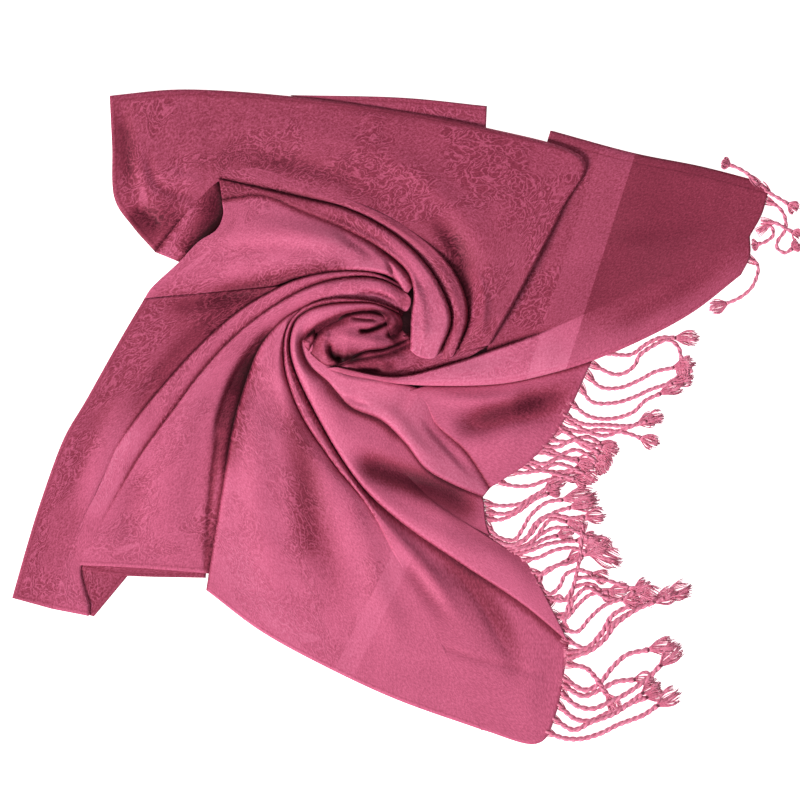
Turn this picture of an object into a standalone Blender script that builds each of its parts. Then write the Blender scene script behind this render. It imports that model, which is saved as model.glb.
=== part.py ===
"""A woven stole with fringed ends, laid flat and swirled in its middle into a rosette of folds."""
import math
from collections import namedtuple

import bmesh
import bpy
import numpy as np
from mathutils import Vector
from mathutils.bvhtree import BVHTree

# Sizes in millimetres. Plan points are (x to the right, y toward the front edge), and the part is
# centred on PLAN_CENTRE at the end.
PLAN_CENTRE = (406.148, 417.656)
WALL = 1.5            # cloth wall
SEAM = 0.15           # each stretch stays this far inside its fold line
LAP = 0.6             # a rolled edge ends this far above the stretch it lies on
HUB = (365.0, 335.0)  # middle of the rosette
RIM_LEVEL = 3.3       # top of the cloth at the outline
MOUND, MOUND_POWER = 15.0, 1.2  # the heap rises from its outline toward the rosette
HEART, HEART_REACH = 8.0, 62.0
UNDER_GAP = 0.6       # between the shared hidden layers and each wall over them
EDGE_INSET = 3.0      # the hidden layers end this far inside the outline
STRAND_W, STRAND_H = 3.0, 2.4
STRAND_LEVEL = 2.3
STRIP_W, STRIP_LOW, STRIP_HIGH = 2.6, 1.2, 2.8

# How far the outline lies from the rosette, by direction (degrees, clockwise as seen from above).
Reach = namedtuple("Reach", "turn mm")
REACHES = [
    Reach(-35, 270), Reach(-20, 400), Reach(-5, 340), Reach(8, 235), Reach(20, 205), Reach(35, 190),
    Reach(50, 190), Reach(58, 300), Reach(68, 385), Reach(82, 340), Reach(105, 300),
    Reach(122, 275), Reach(132, 300), Reach(143, 390), Reach(155, 330), Reach(170, 255),
    Reach(188, 215), Reach(202, 215), Reach(215, 300), Reach(226, 300), Reach(245, 245),
    Reach(265, 215), Reach(285, 215), Reach(300, 225), Reach(325, 270),
]

Pocket = namedtuple("Pocket", "x y angle length width depth")
POCKETS = [
    Pocket(401, 316, 90, 24, 9, 11),
    Pocket(463, 290, 75, 42, 14, 5),
    Pocket(330, 425, 58, 55, 18, 4),
    Pocket(450, 558, 38, 80, 20, 3),
    Pocket(243, 375, 72, 50, 16, 3),
    Pocket(205, 212, 60, 22, 12, 1.6),
]

# Fold lines: each row holds evenly numbered points from the rim of the cloth to the rosette.
FOLD_LINES = {
    "top_edge": [(111, 98), (185, 91), (285, 98), (390, 110), (480, 126), (582, 157),
                 (562, 210), (522, 288), (490, 345)],
    "upper_valley": [(155, 252), (209, 186), (250, 168), (320, 189), (390, 218), (437, 251),
                     (461, 284), (469, 318), (462, 352)],
    "arm_crease": [(219, 178), (262, 188), (305, 198), (345, 208), (385, 228), (418, 255),
                   (441, 286), (451, 318), (440, 352)],
    "arm_inner": [(222, 200), (262, 196), (303, 212), (343, 228), (380, 248), (406, 270),
                  (414, 292), (412, 318), (404, 350)],
    "petal_low": [(144, 299), (185, 295), (228, 287), (270, 281), (315, 273), (352, 270),
                  (380, 275), (396, 285), (404, 298)],
    "corner_valley": [(155.4, 252.3), (169.2, 234.7), (183.2, 216.3), (196.8, 199.5),
                      (209.4, 186.5)],
    "corner_petal": [(173, 262), (196, 238), (218, 211), (216, 190)],
    "left_rim": [(144, 299), (118, 343), (86, 400), (63, 440), (41, 500), (27, 545), (12, 598)],
    "left_fold": [(283, 284), (240, 310), (200, 345), (165, 383), (135, 420), (112, 455),
                  (90, 500), (70, 550), (52, 609)],
    "side_fold": [(72, 614), (79, 565), (98, 530), (118, 492), (142, 452), (170, 414),
                  (203, 370), (238, 333), (275, 305), (315, 286), (352, 278), (376, 281.5),
                  (388, 290)],
    "front_valley": [(206, 590), (214, 540), (222, 490), (232, 430), (243, 390), (258, 350),
                     (279, 323), (302, 308), (326, 299), (350, 296.5), (371, 298), (388, 303)],
    "flap_inner": [(72.5, 612), (78.5, 575.5)],
    "flap_outer": [(94, 616), (129, 577)],
    "under_inner": [(112, 567.6), (150, 569.1), (203, 572.5)],
    "under_outer": [(110, 572.5), (150, 575), (203, 579)],
    "back_inner": [(300, 102), (400, 113), (486, 129)],
    "back_outer": [(300, 96), (400, 98), (487, 106)],
    "tail_top": [(487, 348), (462, 354.5), (438, 357.5), (412, 357), (393, 359), (370, 365),
                 (345, 368), (327, 365)],
    "inner_fold": [(482, 730), (455, 672), (425, 612), (397, 556), (366, 504), (334, 464),
                   (303, 418), (287, 378), (283.5, 346), (290, 325), (305, 310.5), (327, 302),
                   (350, 299.5), (374, 301.5), (393, 309)],
    "dark_fold": [(569, 643), (522, 604), (463, 565), (407, 527), (367, 492), (338, 453),
                  (311, 405), (294, 368), (291, 343), (298, 326), (312, 314), (330, 308),
                  (350, 305.5), (372, 306.5), (389, 313)],
    "end_fold": [(483, 497), (452, 484), (425, 468), (405, 443), (382, 421), (350, 407),
                 (328, 383), (309, 366), (302.5, 350), (305, 334), (317, 323), (333, 316),
                 (352, 312), (371, 312), (386, 319)],
    "middle_fold": [(490, 488), (466, 452), (438, 426), (420, 396), (385, 385), (345, 378),
                    (325, 366), (315, 351), (308, 340)],
    "strip_low": [(741, 275), (692, 313), (640, 341), (592, 361), (545, 375), (500, 384),
                  (440, 386), (385, 382), (340, 374)],
    "strip_top": [(750, 236), (696, 262), (640, 288), (590, 312), (545, 331), (500, 347),
                  (450, 364), (395, 376), (345, 374)],
    "far_edge": [(769, 189), (700, 171), (630, 157), (549, 135)],
    "heart_inner": [(307, 337), (318, 325), (333.5, 317.8), (352, 313.8), (370, 313.8),
                    (382, 320), (387, 329)],
    "heart_low": [(312, 343), (327, 350), (346, 352), (368, 349), (386, 344), (396, 336)],
    "curl_low": [(325, 362), (340, 366.5), (360, 366), (380, 361.5), (396, 355)],
}

# Named lines of the rims where a stretch ends along more than a straight line.
RIM_LINES = {
    "corner": [(155, 252), (122, 213), (112, 150), (111, 98)],
    "petal": [(144, 299), (158, 281), (180, 263), (206, 238), (224, 214), (222, 200)],
    "left": [(12, 598), (32, 606), (52, 609)],
    "front_long": [(206, 590), (262, 632), (330, 669), (400, 701), (482, 730)],
    "front_end": [(482, 730), (536, 744), (556, 714), (569, 643)],
    "side": [(79, 565), (140, 568), (204, 574)],
    "low_end": [(569, 643), (547, 599), (526, 562), (491, 537), (483, 497)],
    "mid_end": [(490, 488), (530, 461), (562, 424), (592, 361)],
    "far_end": [(750, 236), (762, 214), (769, 189)],
    "strip_end": [(741, 275), (750, 256), (750, 236)],
}

# A stretch of cloth: its two fold lines with the span used, its steps along and across, the
# crown height above the fold lines at rim, middle and hub, the roll of each edge (0: tucked), and
# how far the crown takes to rise from a tucked edge, as a share of the width.
Stretch = namedtuple("Stretch", "name left lspan right rspan steps cells rim crown roll ease")
W = (0.0, 1.0)
STRETCHES = [
    Stretch("top_panel", "upper_valley", W, "top_edge", W, 18, 5, "corner",
            (1.4, 4.5, 9.0), (0, 5), (0.35, 0)),
    Stretch("corner_fold", "corner_valley", W, "corner_petal", W, 6, 3, None,
            (0.8, 0.5, 0.3), (0, 0), (0.5, 0.5)),
    Stretch("outer_arm", "arm_crease", W, "upper_valley", (0.23, 1.0), 14, 2, None,
            (1.0, 4.5, 8.0), (0, 4), (0.6, 0)),
    Stretch("inner_arm", "arm_inner", W, "arm_crease", W, 14, 3, None,
            (1.2, 6.0, 9.5), (4, 5), (0, 0)),
    Stretch("bright_petal", "petal_low", W, "arm_inner", (0.0, 0.72), 12, 4, "petal",
            (3.0, 6.5, 6.0), (5, 0), (0, 0.45)),
    Stretch("left_panel", "left_rim", (1.0, 0.0), "left_fold", (1.0, 0.03), 12, 4, None,
            (1.2, 2.2, 1.0), (4, 0), (0, 0.4)),
    Stretch("left_ridge", "left_fold", (1.0, 0.0), "side_fold", (0.0, 0.72), 14, 3, None,
            (1.0, 4.5, 5.5), (4, 0), (0, 0.5)),
    Stretch("side_panel", "side_fold", (0.085, 1.0), "front_valley", (0.03, 1.0), 16, 4, "side",
            (1.2, 6.0, 6.0), (5, 0), (0, 0.75)),
    Stretch("front_panel", "front_valley", (0.0, 0.63), "inner_fold", (0.0, 0.66), 16, 5, "front_long",
            (1.0, 6.0, 6.5), (6, 0), (0, 0.4)),
    Stretch("front_ridge", "inner_fold", W, "dark_fold", W, 26, 3, "front_end",
            (1.0, 8.0, 8.0), (4, 0), (0, 0.55)),
    Stretch("low_panel", "dark_fold", W, "end_fold", W, 26, 4, "low_end",
            (1.2, 8.0, 6.0), (7, 0), (0, 0.65)),
    Stretch("middle_panel", "end_fold", (0.0, 0.63), "middle_fold", W, 14, 3, None,
            (1.0, 6.0, 5.0), (5, 0), (0, 0.5)),
    Stretch("upper_panel", "middle_fold", (0.0, 0.42), "strip_low", (0.375, 0.78), 10, 4,
            "mid_end", (1.0, 3.0, 3.0), (3, 0), (0, 0.7)),
    Stretch("long_strip", "strip_low", W, "strip_top", W, 24, 3, "strip_end",
            (1.6, 6.5, 8.0), (7, 3), (0, 0)),
    Stretch("tail_wrap", "strip_top", (17 / 24, 23 / 24), "tail_top", W, 6, 2, None,
            (2.0, 4.0, 2.0), (0, 3), (0.5, 0)),
    Stretch("far_panel", "strip_top", (0.0, 0.66), "far_edge", W, 10, 4, "far_end",
            (1.0, 1.0, 0.3), (0, 0), (0.3, 0.1)),
    Stretch("heart_lobe", "heart_low", W, "heart_inner", W, 8, 3, None,
            (1.5, 7.0, 3.0), (5, 0), (0, 0.5)),
    Stretch("curl_strip", "curl_low", W, "heart_low", (0.08, 0.97), 8, 2, None,
            (1.0, 4.0, 5.0), (4, 0), (0, 0.5)),
    Stretch("back_layer", "back_inner", W, "back_outer", W, 8, 2, None, (0, 0, 0), (0, 0), (0, 0)),
    Stretch("side_under_layer", "under_inner", W, "under_outer", W, 6, 2, None,
            (0, 0, 0), (0, 0), (0, 0)),
    Stretch("corner_flap", "flap_inner", W, "flap_outer", W, 3, 3, None,
            (0, 0, 0), (0, 0), (0, 0)),
]
FLAT_LAYERS = {"back_layer": (2.2, 3.6), "side_under_layer": (0.3, 1.4),
               "corner_flap": (0.3, 1.4)}  # underside and top
FAR_LAP = {"top_panel": (0.55, 1.8)}  # share along its right edge from which it lies higher, mm
RIM_REACH = 0.4  # share of a stretch over which the shape of its rim fades out
TIP_START, TIP_CROWN = 0.92, 0.25  # the crown falls away over the last of each stretch

Strand = namedtuple("Strand", "x1 y1 x2 y2 tip_x tip_y")
ROOT_RUN = 9.0  # a strand leaves its strip squarely for about this far
FRINGES = {
    "far_fringe": ([(769, 190), (762, 214), (751, 237), (742, 274)], 0.9, [
        Strand(774, 177, 752, 167, 728, 165), Strand(778, 199, 788, 206, 800, 209),
        Strand(777, 216, 784, 228, 798, 236), Strand(770, 236, 776, 244, 785, 250),
        Strand(760, 262, 757, 284, 712, 305)]),
    "middle_fringe": ([(592, 362), (562, 424), (530, 461), (491, 488)], 0.7, [
        Strand(0, 0, 645, 346, 697, 342), Strand(0, 0, 640, 360, 684, 358),
        Strand(0, 0, 640, 377, 690, 372), Strand(0, 0, 640, 392, 690, 383),
        Strand(0, 0, 636, 404, 682, 398), Strand(0, 0, 628, 418, 665, 412),
        Strand(0, 0, 618, 430, 655, 441), Strand(0, 0, 592, 442, 604, 450),
        Strand(0, 0, 580, 459, 598, 466), Strand(0, 0, 566, 474, 586, 480),
        Strand(0, 0, 553, 486, 577, 491)]),
    "low_fringe": ([(483, 498), (491, 537), (526, 562), (547, 599), (568, 641)], 0.7, [
        Strand(0, 0, 520, 502, 545, 497), Strand(0, 0, 530, 512, 562, 505),
        Strand(0, 0, 535, 522, 590, 514), Strand(0, 0, 545, 531, 602, 527),
        Strand(0, 0, 552, 541, 608, 541), Strand(0, 0, 562, 552, 612, 556),
        Strand(0, 0, 572, 563, 608, 572), Strand(0, 0, 580, 577, 640, 585),
        Strand(0, 0, 595, 590, 655, 594), Strand(0, 0, 604, 604, 683, 593),
        Strand(0, 0, 612, 619, 672, 606)]),
    "front_fringe": ([(568, 647), (563, 683), (555, 716), (540, 741)], 1.2, [
        Strand(0, 0, 610, 640, 640, 622), Strand(0, 0, 612, 652, 662, 638),
        Strand(0, 0, 610, 668, 672, 655), Strand(0, 0, 604, 686, 630, 682),
        Strand(0, 0, 604, 702, 650, 688), Strand(0, 0, 600, 714, 660, 700),
        Strand(0, 0, 594, 728, 652, 710), Strand(0, 0, 590, 741, 655, 722)]),
}

COLOURS = {
    "cloth": (0.52, 0.13, 0.21), "under": (0.38, 0.08, 0.14), "fringe": (0.62, 0.22, 0.32),
}


def spline(knots, t):
    """Points of a smooth line through evenly numbered knots, for t from 0 to 1."""
    k = np.asarray(knots, float)
    k = np.vstack([2 * k[0] - k[1], k, 2 * k[-1] - k[-2]])
    t = np.clip(np.asarray(t, float), 0, 1) * (len(k) - 3)
    i = np.minimum(t.astype(int), len(k) - 4)
    f = (t - i)[..., None]
    a, b, c, d = k[i], k[i + 1], k[i + 2], k[i + 3]
    return 0.5 * (2 * b + (c - a) * f + (2 * a - 5 * b + 4 * c - d) * f**2
                  + (3 * b - a - 3 * c + d) * f**3)


def fold_level(p):
    """Height of the fold lines above the surface at the plan points p."""
    x, y = p[..., 0], p[..., 1]
    r2 = (x - HUB[0])**2 + (y - HUB[1])**2
    turn = np.degrees(np.arctan2(y - HUB[1], x - HUB[0]))
    turn = np.where(turn < REACHES[0].turn, turn + 360, turn)
    reach = np.interp(turn, [q.turn for q in REACHES], [q.mm for q in REACHES])
    slope = np.maximum(0.0, 1 - np.sqrt(r2) / reach)**MOUND_POWER
    z = RIM_LEVEL + MOUND * slope + HEART * np.exp(-r2 / HEART_REACH**2)
    for q in POCKETS:
        c, s = math.cos(math.radians(q.angle)), math.sin(math.radians(q.angle))
        along = ((x - q.x) * c + (y - q.y) * s) / q.length
        across = (-(x - q.x) * s + (y - q.y) * c) / q.width
        z = z - q.depth * np.exp(-along**2 - across**2)
    return np.maximum(z, RIM_LEVEL - 0.2)


def rise(s, roll, ease, width):
    """Share of the crown at the distance s from an edge."""
    if roll:
        r = min(roll, 0.42 * width)
        q = min(s / r, 1.0)
        return math.sqrt(max(0.0, 1 - (1 - q)**2)), max(0.0, 1 - q)
    if ease:
        return math.sin(0.5 * math.pi * min(1.0, s / (ease * width))), 0.0
    return 1.0, 0.0


def stations(roll_l, roll_r, cells, width):
    """Distances across a stretch, closer together over a rolled edge."""
    low, high = [0.0], [width]
    if roll_l:
        r = min(roll_l, 0.42 * width)
        low = [0.0, 0.15 * r, 0.5 * r, r]
    if roll_r:
        r = min(roll_r, 0.42 * width)
        high = [width - r, width - 0.5 * r, width - 0.15 * r, width]
    mid = np.linspace(low[-1], high[0], cells + 1)
    return low[:-1] + list(mid) + high[1:]


def stretch_points(row):
    """Outer and inner points of a stretch, as two grids from rim to hub and from left to right."""
    u = np.linspace(0, 1, row.steps + 1)
    left = spline(FOLD_LINES[row.left], row.lspan[0] + (row.lspan[1] - row.lspan[0]) * u)
    right = spline(FOLD_LINES[row.right], row.rspan[0] + (row.rspan[1] - row.rspan[0]) * u)
    outer, inner = [], []
    z_left, z_right = fold_level(left), fold_level(right)
    if row.roll[0]:
        z_left = z_left + LAP
    if row.roll[1]:
        z_right = z_right + LAP
    if row.name in FAR_LAP:
        start, more = FAR_LAP[row.name]
        z_right = z_right + more * np.clip((u - start) / 0.08, 0, 1)
    rim_crown, mid_crown, hub_crown = row.crown
    crown = np.interp(u, (0, 0.5, TIP_START, 1),
                      (rim_crown, mid_crown, hub_crown, TIP_CROWN * hub_crown))
    rim = RIM_LINES.get(row.rim)
    if rim:
        rim = np.asarray(rim, float).copy()
        rim[0], rim[-1] = left[0], right[0]
    for i, (a, b) in enumerate(zip(left, right)):
        width = float(np.linalg.norm(b - a))
        fade = max(0.0, 1 - u[i] / RIM_REACH)**2

        def place(s):
            v = s / width
            p = a + (b - a) * v
            if rim is not None:
                p = p + fade * (spline(rim, v) - (left[0] + (right[0] - left[0]) * v))
            return p

        top_row, low_row = [], []
        for s in stations(row.roll[0], row.roll[1], row.cells, width):
            v = s / width
            fl, inset_l = rise(s, row.roll[0], row.ease[0], width)
            fr, inset_r = rise(width - s, row.roll[1], row.ease[1], width)
            share = fl * fr
            base = z_left[i] * (1 - v) + z_right[i] * v
            z = base + crown[i] * share
            s_in = min(max(s, SEAM), width - SEAM)
            if row.name in FLAT_LAYERS:
                low, high = FLAT_LAYERS[row.name]
                top_row.append((*place(s_in), high))
                low_row.append((*place(s_in), low))
                continue
            top_row.append((*place(s_in), z))
            thin = min(fl if row.roll[0] else 1.0, fr if row.roll[1] else 1.0)
            s_low = s_in + WALL * inset_l - WALL * inset_r
            drop = WALL * thin + max(0.0, WALL - crown[i]) * (1 - thin)
            low_row.append((*place(s_low), z - drop))
        outer.append(top_row)
        inner.append(low_row)
    return np.array(outer), np.array(inner)


def to_metres(p):
    return ((p[0] - PLAN_CENTRE[0]) / 1000, (PLAN_CENTRE[1] - p[1]) / 1000, p[2] / 1000)


def add_solid(name, points, faces, colour, smooth=True):
    mesh = bpy.data.meshes.new(name)
    mesh.from_pydata([to_metres(p) for p in points], [], faces)
    bm = bmesh.new()
    bm.from_mesh(mesh)
    bmesh.ops.triangulate(bm, faces=bm.faces[:])
    bmesh.ops.recalc_face_normals(bm, faces=bm.faces[:])
    bm.to_mesh(mesh)
    bm.free()
    obj = bpy.data.objects.new(name, mesh)
    bpy.context.scene.collection.objects.link(obj)
    if smooth:
        for face in mesh.polygons:
            face.use_smooth = True
    mat = bpy.data.materials.new(name)
    mat.use_nodes = True
    shader = mat.node_tree.nodes["Principled BSDF"]
    shader.inputs["Base Color"].default_value = (*COLOURS[colour], 1)
    shader.inputs["Roughness"].default_value = 0.65
    mesh.materials.append(mat)
    return obj


def grid_faces(rows, cols):
    """Faces of a closed wall: the outer grid, the inner grid and the four edges."""
    n = rows * cols
    faces = []
    for i in range(rows - 1):
        for j in range(cols - 1):
            a, b = i * cols + j, (i + 1) * cols + j
            faces.append((a, b, b + 1, a + 1))
            faces.append((n + a, n + a + 1, n + b + 1, n + b))
    ring = [j for j in range(cols)]
    ring += [i * cols + cols - 1 for i in range(1, rows)]
    ring += [(rows - 1) * cols + j for j in range(cols - 2, -1, -1)]
    ring += [i * cols for i in range(rows - 2, 0, -1)]
    for k, a in enumerate(ring):
        b = ring[(k + 1) % len(ring)]
        faces.append((a, b, n + b, n + a))
    return faces


def add_stretch(row):
    outer, inner = stretch_points(row)
    rows, cols = outer.shape[:2]
    points = list(outer.reshape(-1, 3)) + list(inner.reshape(-1, 3))
    add_solid(row.name, points, grid_faces(rows, cols), "cloth")
    return inner, outer


def add_fringe(name, strip, clear, strands):
    """A narrow strip along the edge with its strands growing out of it."""
    count = len(strands)
    fine = spline(strip, np.linspace(0, 1, 81))
    run = np.append(0, np.cumsum(np.linalg.norm(np.diff(fine, axis=0), axis=1)))
    t = [0.0]
    for i in range(count):
        mid = (i + 0.5) / count
        t += [mid - 0.12 / count, mid + 0.12 / count]
    t.append(1.0)
    t = np.interp(np.array(t) * run[-1], run, np.linspace(0, 1, 81))
    line = spline(strip, t)
    ahead = spline(strip, np.minimum(t + 0.01, 1)) - spline(strip, np.maximum(t - 0.01, 0))
    ahead /= np.linalg.norm(ahead, axis=1)[:, None]
    out = np.stack([ahead[:, 1], -ahead[:, 0]], axis=1)
    middle = strands[count // 2]
    if out[len(t) // 2] @ (np.array([middle.x2, middle.y2]) - line[len(t) // 2]) < 0:
        out = -out
    line = line + out * clear
    points, faces = [], []
    for i in range(len(t)):
        far = line[i] + out[i] * STRIP_W
        points += [(*line[i], STRIP_LOW), (*line[i], STRIP_HIGH), (*far, STRIP_HIGH),
                   (*far, STRIP_LOW)]
    for i in range(len(t) - 1):
        a, b = 4 * i, 4 * i + 4
        for k in range(4):
            m = (k + 1) % 4
            if k == 2 and i % 2 == 1:
                continue
            faces.append((a + k, b + k, b + m, a + m))
    faces.append((0, 1, 2, 3))
    last = 4 * (len(t) - 1)
    faces.append((last + 3, last + 2, last + 1, last))
    for n, strand in enumerate(strands):
        i = 2 * n + 1
        root = 0.5 * (line[i] + out[i] * STRIP_W + line[i + 1] + out[i + 1] * STRIP_W)
        far = np.array([strand.x2, strand.y2])
        first = root + (out[i] * 0.7 + 0.3 * (far - root) / np.linalg.norm(far - root)) * ROOT_RUN
        if strand.x1:
            first = np.array([strand.x1, strand.y1])
        path = [root, first, far, (strand.tip_x, strand.tip_y)]
        steps = 8
        s = np.linspace(0, 1, steps + 1)
        mid = spline(path, s)
        way = np.gradient(mid, axis=0)
        way /= np.linalg.norm(way, axis=1)[:, None]
        side = np.stack([-way[:, 1], way[:, 0]], axis=1)
        across = line[i + 1] - line[i]
        if side[0] @ across < 0:
            side = -side
        ring = [4 * i + 3, 4 * i + 7, 4 * i + 6, 4 * i + 2]
        for k in range(1, steps + 1):
            w = 0.5 * STRAND_W * (0.85 if k < steps - 1 else (1.35 if k == steps - 1 else 0.5))
            h = 0.5 * STRAND_H * (1.0 if k < steps else 0.5)
            base = len(points)
            p, q = mid[k] - side[k] * w, mid[k] + side[k] * w
            points += [(*p, STRAND_LEVEL - h), (*q, STRAND_LEVEL - h), (*q, STRAND_LEVEL + h),
                       (*p, STRAND_LEVEL + h)]
            new = [base, base + 1, base + 2, base + 3]
            for m in range(4):
                w2 = (m + 1) % 4
                faces.append((ring[m], ring[w2], new[w2], new[m]))
            ring = new
        faces.append(tuple(ring))
    add_solid(name, points, faces, "fringe", smooth=False)


def add_hidden_layers(walls):
    """One rounded solid with a flat underside that fills the heap below the visible stretches."""
    points, faces = [], []
    for grid in walls:
        rows, cols = grid.shape[:2]
        base = len(points)
        points += [Vector(p) for p in grid.reshape(-1, 3)]
        for i in range(rows - 1):
            for j in range(cols - 1):
                a, b = base + i * cols + j, base + (i + 1) * cols + j
                faces += [(a, b, b + 1), (a, b + 1, a + 1)]
    tree = BVHTree.FromPolygons(points, faces)
    step = 2.0
    xs, ys = np.arange(0, 800, step), np.arange(80, 760, step)
    level = np.full((len(xs), len(ys)), np.nan)
    for i, x in enumerate(xs):
        for j, y in enumerate(ys):
            hit = tree.ray_cast(Vector((x, y, -5)), Vector((0, 0, 1)))
            if hit[0] is not None:
                level[i, j] = hit[0].z
    covered = ~np.isnan(level)
    around, rings = 84, 15
    centre = np.array(HUB)
    reach = []
    for k in range(around):
        ends = []
        for part in np.linspace(-1.05, 1.05, 9):
            a = 2 * math.pi * (k + part) / around
            way = np.array([math.cos(a), math.sin(a)])
            far = 0.0
            for d in np.arange(20, 460, 1.0):
                q = centre + way * d
                i, j = int(round(q[0] / step)), int(round((q[1] - 80) / step))
                if 0 <= i < len(xs) and 0 <= j < len(ys) and covered[i, j]:
                    far = d
            ends.append(far)
        reach.append(min(ends) - EDGE_INSET)
    spots = []
    share = [((r + 1) / rings)**1.15 for r in range(rings)]
    for f in share:
        for k in range(around):
            a = 2 * math.pi * k / around
            spots.append(centre + np.array([math.cos(a), math.sin(a)]) * reach[k] * f)
    spots = np.array([centre] + spots)
    gx, gy = np.meshgrid(xs, ys, indexing="ij")
    sample = np.stack([gx[covered], gy[covered]], axis=1)
    depth = level[covered]
    tops = []
    for n, p in enumerate(spots):
        ring = (n - 1) // around if n else 0
        if n:
            k = (n - 1) % around
            cell = reach[k] * (share[ring] - (share[ring - 1] if ring else 0))
            nxt = reach[k] * ((share[ring + 1] if ring + 1 < rings else 1.0) - share[ring])
            wide = 2 * math.pi / around * reach[k] * share[ring]
            jump = max(abs(reach[k] - reach[(k + 1) % around]),
                       abs(reach[k] - reach[k - 1])) * share[ring]
            near = 1.1 * math.hypot(max(cell, nxt), wide + jump) + 4
        else:
            near = reach[0] * share[0] + 6
        hit = np.abs(sample - p).max(axis=1) < near
        tops.append(max(0.8, float(depth[hit].min()) - UNDER_GAP))
    points = [(*p, z) for p, z in zip(spots, tops)]
    faces = []
    for k in range(around):
        m = (k + 1) % around
        faces.append((0, 1 + k, 1 + m))
        for r in range(rings - 1):
            a, b = 1 + r * around, 1 + (r + 1) * around
            faces.append((a + k, b + k, b + m, a + m))
    rim = 1 + (rings - 1) * around
    base = len(points)
    for k in range(around):
        points.append((*spots[rim + k], 0.0))
    points.append((*centre, 0.0))
    for k in range(around):
        m = (k + 1) % around
        faces.append((rim + k, base + k, base + m, rim + m))
        faces.append((base + m, base + k, base + around))
    add_solid("hidden_layers", points, faces, "under")


for old in list(bpy.data.objects):
    bpy.data.objects.remove(old, do_unlink=True)

undersides = []
for stretch in STRETCHES:
    low, high = add_stretch(stretch)
    if stretch.name not in FLAT_LAYERS:
        undersides += [low, high]
for fringe, (strip, clear, strands) in FRINGES.items():
    add_fringe(fringe, strip, clear, strands)
add_hidden_layers(undersides)
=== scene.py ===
"""The looks of a fringed jacquard stole, laid flat and swirled in its middle into a rosette."""
import math
import random
from collections import namedtuple

import bmesh
import bpy
import numpy as np
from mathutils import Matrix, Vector


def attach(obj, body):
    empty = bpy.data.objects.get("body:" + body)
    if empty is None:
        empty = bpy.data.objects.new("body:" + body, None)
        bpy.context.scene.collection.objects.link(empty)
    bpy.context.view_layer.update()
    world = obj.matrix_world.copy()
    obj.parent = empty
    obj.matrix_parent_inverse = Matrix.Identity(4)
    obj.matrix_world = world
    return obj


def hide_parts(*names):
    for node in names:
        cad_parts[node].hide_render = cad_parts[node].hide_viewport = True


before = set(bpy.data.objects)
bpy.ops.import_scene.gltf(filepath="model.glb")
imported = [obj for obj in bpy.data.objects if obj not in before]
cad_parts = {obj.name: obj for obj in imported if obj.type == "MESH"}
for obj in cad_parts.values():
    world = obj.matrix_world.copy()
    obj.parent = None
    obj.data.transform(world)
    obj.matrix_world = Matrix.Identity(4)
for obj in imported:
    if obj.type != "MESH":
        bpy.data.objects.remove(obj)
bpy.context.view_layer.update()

# Plan points are in millimetres, x to the right and y toward the front edge, as laid out on the
# table; PLAN_CENTRE is the middle of the part. Heights are in millimetres above the table.
MM = 1000.0           # millimetres in a metre
PLAN_CENTRE = (406.148, 417.656)
HUB = (365.0, 335.0)  # middle of the rosette
CLOTH = 0.8           # thickness of the cloth as it lies
RIM_LEVEL = 3.3       # top of the cloth at the outline
FOLD_SINK, CLOTH_SINK = 0.2, 0.4  # fold lines and cloth go no further than this below it
MOUND, MOUND_POWER = 15.0, 1.2    # the heap rises from its outline toward the rosette
HEART, HEART_REACH = 8.0, 62.0    # and its heart stands this much higher
LAP = 0.6             # a rolled edge ends this far above the stretch it lies on
STEP_ALONG, STEP_ACROSS = 2.6, 1.85  # size of the mesh faces, and the share of it where finer
FINER = {"heart_lobe": 0.4, "curl_strip": 0.45, "tail_wrap": 0.6, "inner_arm": 0.7,
         "low_panel": 0.75, "bright_petal": 0.8, "middle_panel": 0.7}
FEWEST_ROWS, FEWEST_COLUMNS, ROLL_COLUMNS = 6, 4, 5  # and over a rolled edge
WIDEST_ROLL = 0.42    # a rolled edge takes up no more than this share of a narrow stretch

Reach = namedtuple("Reach", "turn mm")  # how far the outline lies from the rosette, by direction
REACHES = [
    Reach(-35, 270), Reach(-20, 400), Reach(-5, 340), Reach(8, 235), Reach(20, 205), Reach(35, 190),
    Reach(50, 190), Reach(58, 300), Reach(68, 385), Reach(82, 340), Reach(105, 300),
    Reach(122, 275), Reach(132, 300), Reach(143, 390), Reach(155, 330), Reach(170, 255),
    Reach(188, 215), Reach(202, 215), Reach(215, 300), Reach(226, 300), Reach(245, 245),
    Reach(265, 215), Reach(285, 215), Reach(300, 225), Reach(325, 270),
]

Pocket = namedtuple("Pocket", "x y angle length width depth")  # hollows that the heap dips into
POCKETS = [
    Pocket(401, 316, 90, 24, 9, 11),
    Pocket(463, 290, 75, 42, 14, 5),
    Pocket(330, 425, 58, 55, 18, 4),
    Pocket(450, 558, 38, 80, 20, 3),
    Pocket(243, 375, 72, 50, 16, 3),
    Pocket(205, 212, 60, 22, 12, 1.6),
]

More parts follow.
